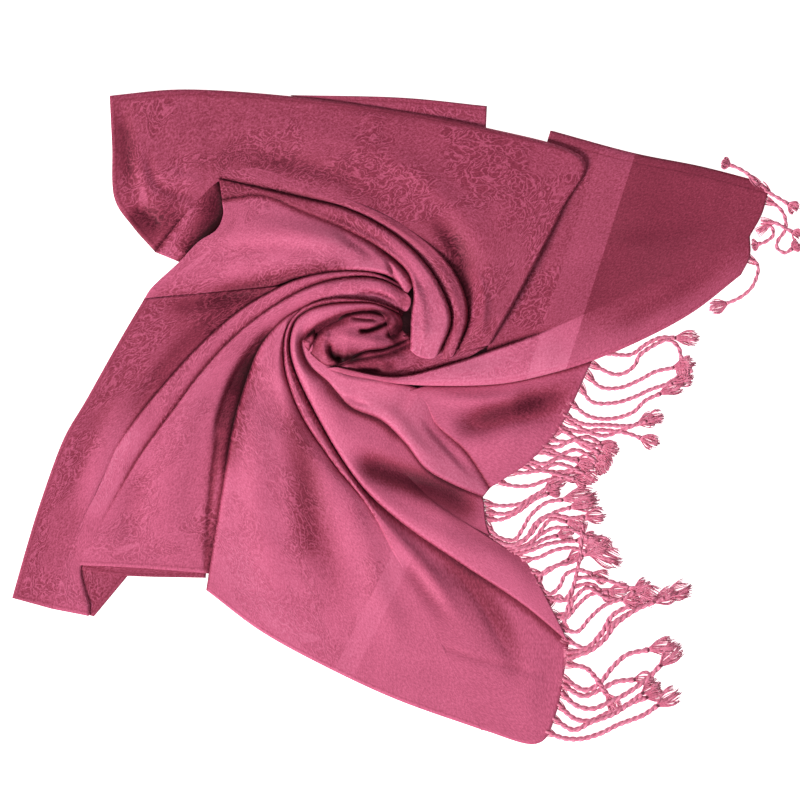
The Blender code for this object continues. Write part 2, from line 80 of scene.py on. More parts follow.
# Fold lines: each row holds evenly numbered points from the rim of the cloth to the rosette.
FOLD_LINES = {
    "top_edge": [(109.5, 95.5), (185, 89.3), (285, 95.5), (390, 109), (480, 126), (582, 157),
                 (562, 210), (522, 288), (490, 345)],
    "upper_valley": [(155, 252), (209, 186), (250, 168), (320, 189), (390, 218), (437, 251),
                     (461, 284), (468, 318), (456, 353)],
    "arm_crease": [(219, 178), (262, 188), (305, 198), (345, 208), (385, 228), (418, 255),
                   (440, 286), (451, 320), (439, 354)],
    "arm_inner": [(222, 200), (262, 196), (303, 212), (343, 228), (380, 248), (406, 270),
                  (413.5, 292), (411, 318), (410, 350)],
    "petal_low": [(144, 299), (185, 295), (228, 289), (270, 284), (312, 274.5), (348, 270.3),
                  (376, 272.5), (394, 279.5), (405, 297)],
    "corner_valley": [(155.4, 252.3), (169.2, 234.7), (183.2, 216.3), (198, 198.5), (213, 182.5)],
    "corner_petal": [(179, 262), (200, 240), (222, 214), (219, 180.5)],
    "left_rim": [(144, 299), (118, 343), (86, 400), (63, 440), (41, 500), (27, 545), (12, 598)],
    "left_fold": [(399, 283.5), (374, 272.8), (343, 270.6), (312, 274.6), (283, 285), (240, 310),
                  (200, 345), (165, 383), (135, 420), (112, 455), (90, 500), (70, 550), (52, 609)],
    "side_fold": [(88, 616), (79, 566), (98, 530), (118, 492), (142, 452), (170, 414),
                  (203, 370), (238, 333), (275, 305), (312, 285.5), (348, 277.4), (379, 279),
                  (405, 291)],
    "front_valley": [(206, 590), (214, 540), (222, 490), (232, 430), (243, 390), (258, 350),
                     (279, 323), (301, 308.5), (325, 300), (350, 298.3), (377, 302), (403, 312)],
    "flap_inner": [(80, 613), (74, 556)],
    "flap_outer": [(94, 616.5), (131, 572)],
    "under_inner": [(84, 556), (150, 560), (206, 566)],
    "under_outer": [(82, 570), (128, 576), (206, 578)],
    "back_inner": [(300, 102), (400, 113), (486, 129)],
    "back_outer": [(290, 95), (400, 97.5), (487, 106)],
    "tail_top": [(487, 346), (464, 347), (440, 348), (414, 345), (396, 351.5), (374, 357),
                 (354, 361), (338, 366)],
    "inner_fold": [(482, 730), (455, 672), (425, 612), (397, 556), (366, 504), (334, 464),
                   (303, 418), (287, 378), (283.5, 346), (288.5, 324), (303, 307.5), (325, 299.5),
                   (349, 298.3), (375, 301.8), (398, 310)],
    "dark_fold": [(569, 643), (522, 604), (463, 565), (407, 527), (367, 492), (338, 453),
                  (311, 405), (294, 368), (289.5, 343), (295.5, 321), (309.5, 309.5), (328, 304),
                  (350, 302), (376, 303.3), (400, 315)],
    "end_fold": [(483, 497), (452, 484), (425, 468), (405, 443), (382, 421), (350, 407),
                 (328, 383), (309, 366), (301.5, 350), (303, 338), (315, 328), (331, 319.3),
                 (350, 312.6), (371, 310.6), (390, 318)],
    "middle_fold": [(490, 488), (466, 452), (438, 426), (420, 396), (385, 385), (345, 378),
                    (325, 366), (315, 351), (308, 340)],
    "strip_low": [(741, 275), (692, 313), (640, 341), (592, 361), (545, 375), (500, 384),
                  (440, 386), (385, 382), (331, 367.5)],
    "strip_top": [(750, 236), (696, 262), (640, 288), (590, 312), (545, 331), (500, 347),
                  (450, 364), (395, 376.5), (337, 366.5)],
    "far_edge": [(769, 189), (700, 171), (630, 157), (549, 135)],
    "heart_inner": [(303, 340), (315, 328.5), (332, 319.5), (351, 313), (371, 311),
                    (388, 316.5), (399, 327)],
    "heart_low": [(305, 347), (314, 357), (328, 366), (345, 361.5), (364, 351.5),
                  (386, 348), (410, 338)],
    "curl_low": [(336, 367), (352, 361.5), (371, 357.5), (391, 353), (411, 344)],
}

# Named lines of the rims where a stretch ends along more than a straight line.
RIM_LINES = {
    "corner": [(155, 252), (133, 227), (114, 197), (112, 145), (109.5, 95.5)],
    "petal": [(144, 299), (153, 286), (179, 262), (198, 242), (216, 230), (223, 215), (222, 200)],
    "left": [(12, 598), (32, 606), (52, 609)],
    "front_long": [(206, 590), (262, 632), (330, 669), (400, 701), (482, 730)],
    "front_end": [(482, 730), (536, 744), (556, 714), (569, 643)],
    "side": [(79, 565), (140, 568), (204, 574)],
    "low_end": [(569, 643), (547, 599), (526, 562), (491, 537), (483, 497)],
    "mid_end": [(490, 488), (530, 461), (562, 424), (592, 361)],
    "far_end": [(750, 236), (762, 214), (769, 189)],
    "strip_end": [(741, 275), (750, 256), (750, 236)],
}

# Lines along which a stretch ends in the rosette, where that is more than straight.
TIP_LINES = {
    "inner_arm": [(410, 350), (416, 355), (425, 358.5), (434, 358), (439, 354)],
    "outer_arm": [(439, 354), (444, 359), (451, 358), (456, 353)],
    "side_panel": [(405, 291), (411, 300), (408, 310), (403, 312)],
    "low_panel": [(400, 315), (403, 325), (398, 334), (391, 337), (389, 328), (390, 318)],
}
TIP_REACHES = {"low_panel": 0.045}
TIP_REACH, TIP_POWER = 0.12, 1.6  # share of a stretch over which its tip's shape fades in, and how

# A stretch of cloth between two fold lines: the span of each line that it uses, the line of its
# rim, the crown above the fold lines at rim, middle and hub, the roll of its two edges (0: it
# runs on under its neighbour), how soon the crown rises from a tucked edge (share of the width),
# its free edges, the cut of what shows (mm across, mm along, square cm) and its weave.
Sheet = namedtuple("Sheet", "name left lspan right rspan rim crown roll ease free cut weave")
WHOLE = (0.0, 1.0)  # span of a whole line
SHEETS = [
    Sheet("top_panel", "upper_valley", WHOLE, "top_edge", WHOLE, "corner",
          (1.4, 4.5, 9.0), (0, 5), (0.35, 0), "right rim", (175, 550, 620), "figured"),
    Sheet("corner_fold", "corner_valley", WHOLE, "corner_petal", WHOLE, None,
          (0.8, 0.5, 0.3), (0, 0), (0.5, 0.5), "", (38, 85, 27), "figured"),
    Sheet("outer_arm", "arm_crease", WHOLE, "upper_valley", (0.15, 1.0), None,
          (1.0, 4.5, 8.0), (0, 4), (0.6, 0), "", (56, 330, 80), "figured"),
    Sheet("inner_arm", "arm_inner", WHOLE, "arm_crease", WHOLE, None,
          (1.2, 6.0, 9.5), (4, 5), (0, 0), "", (40, 310, 112), "figured"),
    Sheet("bright_petal", "petal_low", WHOLE, "arm_inner", (0.0, 0.72), "petal",
          (3.0, 6.5, 6.0), (5, 0), (0, 0.45), "", (126, 250, 170), "figured"),
    Sheet("left_panel", "left_rim", (1.0, 0.0), "left_fold", (1.0, 0.34), None,
          (1.2, 2.2, 1.0), (4, 0), (0, 0.4), "left rim", (129, 365, 224), "figured"),
    Sheet("left_ridge", "left_fold", (1.0, 0.0), "side_fold", WHOLE, None,
          (1.0, 4.5, 4.0), (4, 0), (0, 0.5), "rim", (33, 530, 142), "figured"),
    Sheet("side_panel", "side_fold", (0.085, 1.0), "front_valley", (0.03, 1.0), "side",
          (1.4, 7.5, 6.5), (5, 0), (0, 0.75), "rim", (130, 415, 271), "figured"),
    Sheet("front_panel", "front_valley", (0.0, 0.63), "inner_fold", (0.0, 0.66), "front_long",
          (1.2, 7.5, 7.5), (7, 0), (0, 0.4), "rim", (310, 365, 498), "front"),
    Sheet("front_ridge", "inner_fold", WHOLE, "dark_fold", WHOLE, "front_end",
          (1.0, 8.0, 8.0), (4, 0), (0, 0.55), "rim", (123, 550, 296), "front"),
    Sheet("low_panel", "dark_fold", WHOLE, "end_fold", WHOLE, "low_end",
          (1.2, 8.0, 6.0), (7, 0), (0, 0.65), "rim", (165, 440, 225), "plain"),
    Sheet("middle_panel", "end_fold", (0.0, 0.63), "middle_fold", WHOLE, None,
          (1.0, 6.0, 5.0), (5, 0), (0, 0.5), "", (46, 255, 101), "plain"),
    Sheet("upper_panel", "middle_fold", (0.0, 0.42), "strip_low", (0.375, 0.78), "mid_end",
          (1.0, 3.0, 3.0), (3, 0), (0, 0.7), "rim", (163, 130, 120), "plain"),
    Sheet("long_strip", "strip_low", WHOLE, "strip_top", WHOLE, "strip_end",
          (1.6, 6.5, 8.0), (7, 3), (0, 0), "left rim", (50, 430, 207), "far"),
    Sheet("tail_wrap", "strip_top", (17 / 24, 23 / 24), "tail_top", WHOLE, None,
          (1.0, 3.4, 2.0), (0, 0), (0.4, 0.3), "", (36, 150, 34), "figured"),
    Sheet("far_panel", "strip_top", (0.0, 0.66), "far_edge", WHOLE, "far_end",
          (1.0, 1.0, 0.3), (0, 0), (0.3, 0.1), "right rim", (236, 245, 338), "far"),
    Sheet("heart_lobe", "heart_low", WHOLE, "heart_inner", WHOLE, None,
          (1.5, 6.0, 1.5), (4, 0), (0, 0.4), "", (52, 105, 46), "plain"),
    Sheet("curl_strip", "curl_low", WHOLE, "heart_low", (0.47, 1.0), None,
          (1.0, 3.0, 3.0), (3, 0), (0, 0.5), "", (22, 85, 15), "plain"),
    Sheet("back_layer", "back_inner", WHOLE, "back_outer", WHOLE, None,
          (0, 0, 0), (0, 0), (0, 0), "right", (23, 190, 27), "figured"),
    Sheet("side_under_layer", "under_inner", WHOLE, "under_outer", WHOLE, None,
          (0, 0, 0), (0, 0), (0, 0), "right", (16, 126, 17), "figured"),
    Sheet("corner_flap", "flap_inner", WHOLE, "flap_outer", WHOLE, None,
          (0, 0, 0), (0, 0), (0, 0), "right", (64, 56, 26), "figured"),
]
FLAT_LAYERS = {"back_layer": 3.5, "side_under_layer": 2.6, "corner_flap": 1.8}  # level of the top
FREE_TO = {"top_panel": 0.60}  # share of its free right edge after which it is a fold
TIP_START, TIP_CROWN = 0.92, 0.25  # the crown falls away over the last of each stretch
TIP_CROWNS = {"low_panel": 0.85, "inner_arm": 0.7, "outer_arm": 0.4, "side_panel": 0.6}
# Changes of a right edge: the share of the sheet where they start and over which they come, and
# the roll or the rise, in millimetres.
TIP_ROLLS = {"low_panel": (0.66, 0.06, 4.5)}
FAR_LAP = {"top_panel": (0.55, 0.08, 0.9)}
FRINGED_RIMS = ("front_end", "low_end", "mid_end", "far_end", "strip_end")
RIM_REACH = 0.4  # share of a stretch over which the shape of its rim fades out
RIM_RUN, RIM_TUCK = 14.0, 0.15  # near its rim an edge is tucked less, down to this share
TUCK, TUCK_DROPS = 5.0, (0.7, 1.6)  # a tucked edge runs on this far under its neighbour, dropping
TURN_IN, TURN_SHARE = 5.0, 0.3  # a rolled edge turns back under itself this far or this share
TURN_DROPS = (0.5, 0.7, 0.9)    # and drops by the first two, and by the last where its fold fades
SLOW_WAVE, QUICK_WAVE = 0.42, 0.26  # height of the waves that smoothing by hand left
FOLD_CREASED = 0.25  # share of a crease that is left on the fold lines themselves
ROLLED_SHADE_REACH, TUCKED_SHADE_REACH = 1.8, 3.4  # how far the painted shade beside a sharp fold reaches
FAR_FROM_EDGE = 99.0  # distance from a free edge that stands for none
CREASE_POINTS, FOLD_POINTS, STRAND_POINTS = 90, 200, 400  # on which lines are measured
FOLD_AWAY = 400.0     # how fast that distance grows where a free edge becomes a fold

# Creases, listed by the stretches they lie on: soft troughs (depth above 0) and ridges
# (below 0) along a line, with half-widths to the left and to the right of its run and the share
# of its ends over which they fade.
Crease = namedtuple("Crease", "depth left right fade line")
CREASES = {
    "top_panel": [  # dents of its corner, long waves, and the dark fold beside the outer arm
        Crease(3.0, 6, 8, 0.35, [(124, 100), (125, 130), (128, 165), (134, 205)]),
        Crease(-1.5, 6, 6, 0.4, [(140, 150), (143, 172), (150, 192), (162, 208)]),
        Crease(-1.4, 6, 6, 0.4, [(162, 170), (182, 178), (206, 184)]),
        Crease(1.8, 4, 5, 0.3, [(150, 145), (150, 165), (158, 183), (178, 194), (202, 197)]),
        Crease(3.2, 9, 10, 0.35, [(126, 204), (146, 218), (168, 236)]),
        Crease(2.4, 12, 9, 0.5, [(200, 150), (280, 160), (350, 182), (420, 226)]),
        Crease(-2.0, 14, 10, 0.5, [(250, 122), (340, 140), (420, 178), (480, 240), (492, 300)]),
        Crease(1.0, 5, 5, 0.3, [(300, 104), (380, 111), (440, 119), (482, 129)]),
        Crease(0.8, 1.6, 8, 0.3, [(351, 138), (353, 165), (352, 204)]),
        Crease(4.2, 11, 7, 0.35, [(432, 212), (453, 246), (467, 284), (473, 320)]),
        Crease(-3.0, 5, 7, 0.35, [(470, 262), (482, 290), (483, 318), (476, 344)]),
    ],
    "corner_fold": [
        Crease(2.2, 13, 14, 0.2, [(186, 258), (206, 236), (219, 213), (216, 186)]),
    ],
    "left_panel": [
        Crease(1.8, 10, 12, 0.4, [(120, 368), (98, 418), (78, 470), (62, 530)]),
        Crease(-1.8, 12, 12, 0.45, [(134, 396), (108, 446), (92, 500), (80, 550)]),
        Crease(3.6, 14, 9, 0.4, [(270, 290), (224, 313), (184, 346), (150, 388), (120, 430)]),
        Crease(2.5, 12, 9, 0.4, [(150, 306), (190, 303), (232, 297), (270, 289)]),
    ],
    "side_panel": [  # the narrow dark valley on its right, broad waves, a fold near the rosette
        Crease(8.5, 4, 13, 0.25, [(213, 456), (222, 412), (237, 374), (258, 344), (280, 322)]),
        Crease(4.5, 2, 4, 0.10, [(205, 574), (208, 530), (212, 478), (219, 430)]),
        Crease(-2.2, 18, 14, 0.4, [(205, 372), (180, 430), (168, 500), (165, 562)]),
        Crease(1.8, 12, 14, 0.4, [(150, 452), (134, 500), (126, 556)]),
        Crease(3.0, 1.8, 2.6, 0.35, [(352, 295), (362, 292.6), (374, 291.6), (388, 296),
                                     (401, 304)]),
    ],
    "front_panel": [
        Crease(3.4, 15, 20, 0.4, [(290, 396), (302, 450), (316, 510), (332, 572), (350, 640)]),
        Crease(-2.6, 16, 14, 0.4, [(262, 380), (256, 450), (262, 530), (290, 620)]),
        Crease(-2.4, 12, 14, 0.4, [(338, 470), (360, 530), (384, 600), (404, 660)]),
    ],
    "front_panel front_ridge": [
        Crease(2.6, 8, 9, 0.45, [(398, 545), (415, 572), (436, 602), (462, 640)]),
    ],
    "front_ridge": [
        Crease(-3.0, 9, 10, 0.4, [(372, 505), (400, 540), (434, 582), (466, 628)]),
        Crease(4.6, 12, 10, 0.4, [(418, 540), (452, 566), (484, 598), (508, 640), (520, 690)]),
        Crease(1.1, 2.0, 3, 0.2, [(430, 643), (452, 650), (480, 659), (505, 665), (532, 671),
                                  (562, 678)]),
        Crease(-1.4, 14, 14, 0.4, [(540, 640), (530, 690), (515, 735)]),
    ],
    "low_panel": [  # the dark valley behind its rolled edge, and crests beside it
        Crease(9.0, 12, 13, 0.25, [(346, 450), (380, 468), (414, 480), (450, 492), (486, 520)]),
        Crease(-2.4, 10, 12, 0.4, [(335, 436), (362, 482), (404, 516), (456, 544), (510, 580)]),
        Crease(2.4, 8, 10, 0.4, [(440, 512), (484, 536), (524, 560), (560, 606)]),
    ],
    "middle_panel": [
        Crease(1.8, 9, 4, 0.3, [(420, 410), (430, 428), (444, 444), (460, 462), (480, 484)]),
        Crease(1.6, 2.6, 3.6, 0.3, [(334, 388), (343, 396), (352, 399), (362, 395)]),
        Crease(1.2, 2.2, 2.6, 0.3, [(346, 408), (354, 403), (362, 403), (372, 406)]),
        Crease(-2.4, 8, 8, 0.4, [(356, 398), (392, 416), (418, 446), (452, 472)]),
    ],
    "upper_panel": [
        Crease(8.0, 12, 15, 0.30, [(448, 428), (474, 421), (508, 412), (542, 401), (578, 385)]),
        Crease(-2.6, 12, 14, 0.4, [(450, 440), (480, 444), (515, 432), (552, 412)]),
        Crease(-2.6, 8, 6, 0.35, [(424, 397), (460, 399), (500, 397), (530, 392)]),
    ],
    "bright_petal": [
        Crease(1.6, 4, 5, 0.35, [(334, 226), (350, 240), (366, 252), (384, 264)]),
        Crease(1.4, 8, 8, 0.4, [(190, 262), (240, 250), (290, 246), (335, 254)]),
        Crease(-2.4, 14, 12, 0.4, [(206, 252), (262, 232), (318, 236), (370, 258)]),
        Crease(3.4, 2.6, 2.2, 0.3, [(385, 257), (391, 269), (396, 281), (404, 294)]),
        Crease(4.0, 3.4, 2.6, 0.3, [(372, 245), (389, 256), (402, 267), (409, 280)]),
    ],
    "inner_arm": [
        Crease(1.4, 4, 5, 0.3, [(300, 206), (345, 222), (388, 246), (418, 280), (430, 318)]),
        Crease(-1.6, 5, 5, 0.3, [(392, 262), (418, 292), (424, 326), (420, 350)]),
    ],
    "outer_arm": [
        Crease(-1.6, 5, 5, 0.35, [(332, 193), (378, 216), (416, 247), (444, 284), (458, 320)]),
        Crease(1.4, 4, 4, 0.35, [(360, 214), (404, 240), (436, 270), (452, 305)]),
    ],
    "long_strip": [
        Crease(-2.0, 9, 10, 0.4, [(400, 378), (460, 374), (520, 362), (580, 340)]),
        Crease(1.8, 8, 9, 0.35, [(600, 330), (640, 312), (690, 284), (735, 254)]),
    ],
    "far_panel": [
        Crease(1.4, 14, 14, 0.45, [(585, 230), (640, 236), (700, 226), (750, 214)]),
        Crease(-1.4, 14, 14, 0.45, [(560, 290), (620, 272), (690, 246), (745, 226)]),
    ],
    "tail_wrap": [
        Crease(5.0, 5, 3.5, 0.3, [(356, 372), (364, 372.5), (374, 372.5), (384, 374)]),
        Crease(1.8, 1.8, 2.4, 0.3, [(392, 374), (404, 370), (418, 365), (434, 359)]),
        Crease(-1.4, 4, 4, 0.3, [(376, 364), (392, 360), (408, 357)]),
    ],
    "heart_lobe": [  # a hooked tongue, its core with a rolled lip, a small pleat
        Crease(4.6, 1.7, 1.7, 0.10, [(382, 312.5), (389, 316), (389.5, 321), (383, 324.5),
                                     (375, 328), (366, 330.5), (358, 330)]),
        Crease(2.4, 1.3, 1.3, 0.2, [(350, 317), (362, 319.5), (378, 320.5)]),
        Crease(5.0, 4, 4, 0.25, [(312, 338), (321, 328.5), (334, 322), (348, 317)]),
        Crease(-2.2, 5, 5, 0.3, [(332, 338), (346, 336), (362, 339), (378, 341), (392, 341)]),
        Crease(-1.8, 3, 3, 0.3, [(346, 325), (358, 322.5), (370, 323), (379, 321)]),
        Crease(-3.0, 3.2, 3.2, 0.25, [(331, 331), (324.5, 340), (323.5, 350), (329, 361)]),
        Crease(4.5, 2.4, 2.4, 0.2, [(332, 342), (330.5, 350), (335, 357), (344, 359)]),
        Crease(3.0, 2.4, 2.4, 0.25, [(386, 338), (391, 332), (393, 325)]),
        Crease(3.4, 1.5, 1.5, 0.15, [(317, 330), (315.5, 339), (312, 347), (310, 354)]),
        Crease(-1.8, 2.0, 2.0, 0.25, [(304, 341), (308, 343), (309, 349)]),
    ],
    "heart_lobe curl_strip": [
        Crease(5.0, 4, 4, 0.25, [(335, 359), (344, 360), (353, 358)]),
    ],
}

# Painted shade and painted highlights, where the satin turns away from or toward the light:
# rows as for creases, with what is added to the tone in place of the depth.
PAINTED_SHADE_AND_LIGHT = {
    "bright_petal": [  # along its lower edge
        Crease(-0.34, 9, 14, 0.15, [(205, 297), (250, 287), (290, 277), (325, 271), (358, 268)]),
        Crease(-0.36, 14, 14, 0.12, [(140, 302), (185, 297), (228, 291), (270, 286), (312, 277),
                                     (345, 273)]),
    ],
    "middle_panel": [
        Crease(-0.24, 2.6, 2.6, 0.15, [(318, 376), (333, 392), (350, 406), (372, 415), (390, 430)]),
    ],
    "upper_panel": [
        Crease(-0.14, 16, 20, 0.15, [(510, 406), (545, 400), (588, 378)]),
        Crease(-0.16, 16, 14, 0.25, [(470, 420), (510, 410), (548, 396)]),
    ],
    "top_panel": [
        Crease(-0.16, 8, 8, 0.3, [(420, 212), (440, 230), (456, 254), (466, 276)]),
        Crease(0.14, 6, 6, 0.3, [(462, 282), (469, 300), (473, 322)]),
        Crease(-0.30, 12, 18, 0.2, [(132, 208), (152, 222), (184, 206)]),
        Crease(-0.14, 7, 9, 0.3, [(126, 120), (128, 150), (132, 186)]),
        Crease(-0.09, 16, 16, 0.3, [(181, 150), (222, 160), (275, 166), (320, 174)]),
        Crease(0.08, 9, 9, 0.3, [(137, 163), (150, 182), (178, 178), (205, 175)]),
    ],
    "inner_arm outer_arm": [
        Crease(-0.10, 7, 7, 0.3, [(330, 212), (360, 228), (392, 246)]),
    ],
    "left_panel": [
        Crease(-0.14, 18, 26, 0.2, [(160, 308), (200, 308), (240, 300), (284, 288)]),
        Crease(-0.16, 12, 14, 0.3, [(196, 296), (226, 294), (254, 290), (286, 285)]),
    ],
    "heart_lobe": [  # the hook, the pocket below it and the small pleat
        Crease(-0.70, 2.0, 2.0, 0.1, [(303, 341), (315, 329.5), (332, 320.5), (351, 314),
                                      (371, 312), (384, 314)]),
        Crease(-0.34, 1.5, 1.5, 0.2, [(350, 317), (362, 319.5), (378, 320.5)]),
        Crease(-0.30, 2.6, 2.6, 0.15, [(358, 331), (370, 329.5), (384, 324.5)]),
        Crease(-0.30, 3, 3, 0.2, [(331, 339), (329, 347), (332, 356), (342, 361)]),
        Crease(-0.20, 5, 5, 0.2, [(324, 336), (320, 346), (324, 358)]),
        Crease(-0.34, 5, 6, 0.15, [(309, 341), (319, 330), (334, 322), (354, 316.5)]),
    ],
    "heart_lobe low_panel": [
        Crease(-0.75, 2.6, 2.6, 0.10, [(366, 310.5), (382, 312.5), (389, 317.5), (387, 323),
                                       (379, 327.5), (368, 331.5), (356, 331)]),
        Crease(-0.34, 2.6, 2.6, 0.15, [(308, 353), (313, 344), (317, 335), (325, 331)]),
        Crease(-0.22, 4, 4, 0.2, [(320, 364), (314, 354), (315, 342)]),
        Crease(-0.95, 6, 7, 0.2, [(388, 340), (395, 333), (401, 320)]),
    ],
    "side_panel front_ridge": [
        Crease(0.26, 4, 4, 0.3, [(312, 303), (332, 297.5), (352, 296), (374, 297.5), (394, 304)]),
    ],
    "heart_lobe curl_strip": [
        Crease(-0.16, 4, 4, 0.12, [(344, 360), (362, 353.5), (382, 350), (409, 341)]),
        Crease(-1.0, 7, 7, 0.35, [(326, 347), (333, 355), (343, 360), (355, 357.5), (368, 354)]),
    ],
    "side_panel": [
        Crease(-0.24, 7, 7, 0.3, [(396, 303), (405, 301), (412, 299)]),
        Crease(-0.20, 7, 7, 0.2, [(204, 566), (207, 520), (213, 470), (221, 430)]),
        Crease(-0.22, 8, 12, 0.2, [(228, 400), (238, 376), (256, 348), (276, 326)]),
        Crease(-0.14, 8, 12, 0.15, [(216, 470), (225, 414), (239, 374), (256, 348)]),
    ],
    "low_panel": [  # the hollow behind its rolled edge, and the strip round the heart
        Crease(-0.34, 4, 4, 0.12, [(320, 380), (335, 398), (352, 410), (372, 419), (386, 428),
                                   (400, 443)]),
        Crease(-0.34, 2.2, 2.2, 0.15, [(303, 342), (314, 330.5), (330, 322), (352, 314)]),
        Crease(-0.24, 15, 17, 0.2, [(352, 458), (384, 472), (420, 486), (454, 502), (484, 526)]),
    ],
    "front_ridge": [
        Crease(-0.04, 18, 16, 0.25, [(424, 556), (456, 584), (486, 616), (508, 650)]),
    ],
    "corner_fold": [
        Crease(-0.50, 20, 13, 0.02, [(190, 258), (206, 236), (214, 214), (212, 178)]),
    ],
    "front_panel side_panel": [
        Crease(-0.46, 6, 13, 0.25, [(218, 486), (228, 448), (236, 410), (247, 374), (258, 352)]),
    ],
    "front_panel": [
        Crease(-0.30, 15, 15, 0.25, [(288, 384), (297, 430), (303, 480), (306, 530), (314, 580)]),
        Crease(0.12, 16, 18, 0.25, [(232, 520), (246, 580), (280, 620), (330, 660)]),
    ],
    "left_panel left_ridge": [
        Crease(0.26, 20, 24, 0.3, [(150, 412), (118, 448), (98, 486), (86, 530)]),
    ],
    "tail_wrap": [
        Crease(-0.36, 7, 6, 0.15, [(346, 366), (360, 368), (380, 368), (400, 366)]),
    ],
    "curl_strip": [
        Crease(-0.24, 8, 8, 0.1, [(350, 358), (372, 354), (392, 350), (409, 342)]),
    ],
    "long_strip": [
        Crease(-0.16, 12, 14, 0.2, [(332, 367), (352, 372), (378, 377), (404, 378)]),
    ],
}

# Folds that are not sharp all along: the line, the stretch over and the one under it, how soon
# the upper one rises where it is soft (0: it runs on level), and how sharp the fold is by place.
Fading = namedtuple("Fading", "line over under ease places")
FADINGS = [
    Fading("left_fold", "left_ridge", "left_panel", 0, [(0.20, 0), (0.38, 1)]),
    Fading("side_fold", "side_panel", "left_ridge", 0, [(0.14, 0), (0.36, 1)]),
    Fading("inner_fold", "front_ridge", "front_panel", 0, [(0.20, 0), (0.36, 1)]),
    Fading("strip_top", "long_strip", "far_panel", 0, [(0.44, 0), (0.62, 1)]),
    Fading("upper_valley", "outer_arm", "top_panel", 0, [(0.03, 1), (0.08, 0), (0.50, 0),
                                                         (0.76, 1)]),
    Fading("corner_valley", "corner_fold", "", 0, [(0.25, 1), (0.60, 0)]),
    Fading("middle_fold", "upper_panel", "middle_panel", 0, [(0.14, 1), (0.26, 0.45), (0.38, 0)]),
    Fading("strip_low", "long_strip", "upper_panel", 0, [(0.86, 1), (0.96, 0)]),
    Fading("petal_low", "bright_petal", "left_panel", 0.7, [(0.34, 0), (0.55, 1)]),
]
MEET_REACH = 42.0  # how far from a faded fold the lower stretch rises to meet the upper one


def spline(knots, t):
    """Points of a smooth line through evenly numbered knots, for t from 0 to 1."""
    k = np.asarray(knots, float)
    k = np.vstack([2 * k[0] - k[1], k, 2 * k[-1] - k[-2]])
    t = np.clip(np.asarray(t, float), 0, 1) * (len(k) - 3)
    i = np.minimum(t.astype(int), len(k) - 4)
    f = (t - i)[..., None]
    a, b, c, d = k[i], k[i + 1], k[i + 2], k[i + 3]
    return 0.5 * (2 * b + (c - a) * f + (2 * a - 5 * b + 4 * c - d) * f**2
                  + (3 * b - a - 3 * c + d) * f**3)


def eased(share):
    """A share from 0 to 1, made to start and end gently."""
    return share * share * (3 - 2 * share)


def run_of(line):
    """How far along a line each of its points lies."""
    return np.append(0, np.cumsum(np.linalg.norm(np.diff(line, axis=0), axis=1)))


def to_metres(p):
    """Places in metres of plan points with their heights in millimetres."""
    p = np.asarray(p, float)
    x, y = (p[..., 0] - PLAN_CENTRE[0]) / MM, (PLAN_CENTRE[1] - p[..., 1]) / MM
    return np.stack([x, y, p[..., 2] / MM], axis=-1)


def fold_level(p):
    """Height of the fold lines at the plan points p."""
    x, y = p[..., 0], p[..., 1]
    r2 = (x - HUB[0])**2 + (y - HUB[1])**2
    turn = np.degrees(np.arctan2(y - HUB[1], x - HUB[0]))
    turn = np.where(turn < REACHES[0].turn, turn + 360, turn)
    reach = np.interp(turn, [q.turn for q in REACHES], [q.mm for q in REACHES])
    slope = np.maximum(0.0, 1 - np.sqrt(r2) / reach)**MOUND_POWER
    z = RIM_LEVEL + MOUND * slope + HEART * np.exp(-r2 / HEART_REACH**2)
    for q in POCKETS:
        c, s = math.cos(math.radians(q.angle)), math.sin(math.radians(q.angle))
        along = ((x - q.x) * c + (y - q.y) * s) / q.length
        across = (-(x - q.x) * s + (y - q.y) * c) / q.width
        z = z - q.depth * np.exp(-along**2 - across**2)
    return np.maximum(z, RIM_LEVEL - FOLD_SINK)


def beside(points, line):
    """Distance of plan points to a line, on which side they lie, and how far along it."""
    path = spline(line, np.linspace(0, 1, CREASE_POINTS))
    a, way = path[:-1], np.diff(path, axis=0)
    length2 = (way**2).sum(axis=1)
    shape = points.shape[:-1]
    flat = points.reshape(-1, 2)
    best = np.full(len(flat), np.inf)
    side, run = np.zeros(len(flat)), np.zeros(len(flat))
    for k in range(len(a)):
        rel = flat - a[k]
        t = np.clip(rel @ way[k] / length2[k], 0, 1)
        gap = rel - t[:, None] * way[k]
        d = np.hypot(gap[:, 0], gap[:, 1])
        near = d < best
        best[near] = d[near]
        side[near] = np.sign(way[k, 0] * rel[near, 1] - way[k, 1] * rel[near, 0])
        run[near] = (k + t[near]) / len(a)
    return best.reshape(shape), side.reshape(shape), run.reshape(shape)


def laid_by_hand(table, name, plan):
    """What the creases, or the rows of painted shade and painted highlight, of one sheet come to
    at its plan points.
    """
    laid = np.zeros(plan.shape[:-1])
    for crease in [row for names, rows in table.items() if name in names.split() for row in rows]:
        d, side, run = beside(plan, crease.line)
        width = np.where(side > 0, crease.right, crease.left)
        ends = eased(np.clip(np.minimum(run, 1 - run) / crease.fade, 0, 1))
        laid += crease.depth * np.exp(-(d / width)**2) * ends
    return laid


def unevenness(plan):
    """Slow rise and fall of cloth that was smoothed by hand: two crossing sets of waves, each
    bent by a longer one."""
    x, y = plan[..., 0], plan[..., 1]
    slow = np.sin(x / 15 + 1.3 * np.sin(y / 37)) * np.sin(y / 21 + 0.8 * np.sin(x / 43))
    quick = np.sin((x + y) / 9.5 + 1.7 * np.sin(x / 29)) * np.sin((x - y) / 13.0)
    return SLOW_WAVE * slow + QUICK_WAVE * quick


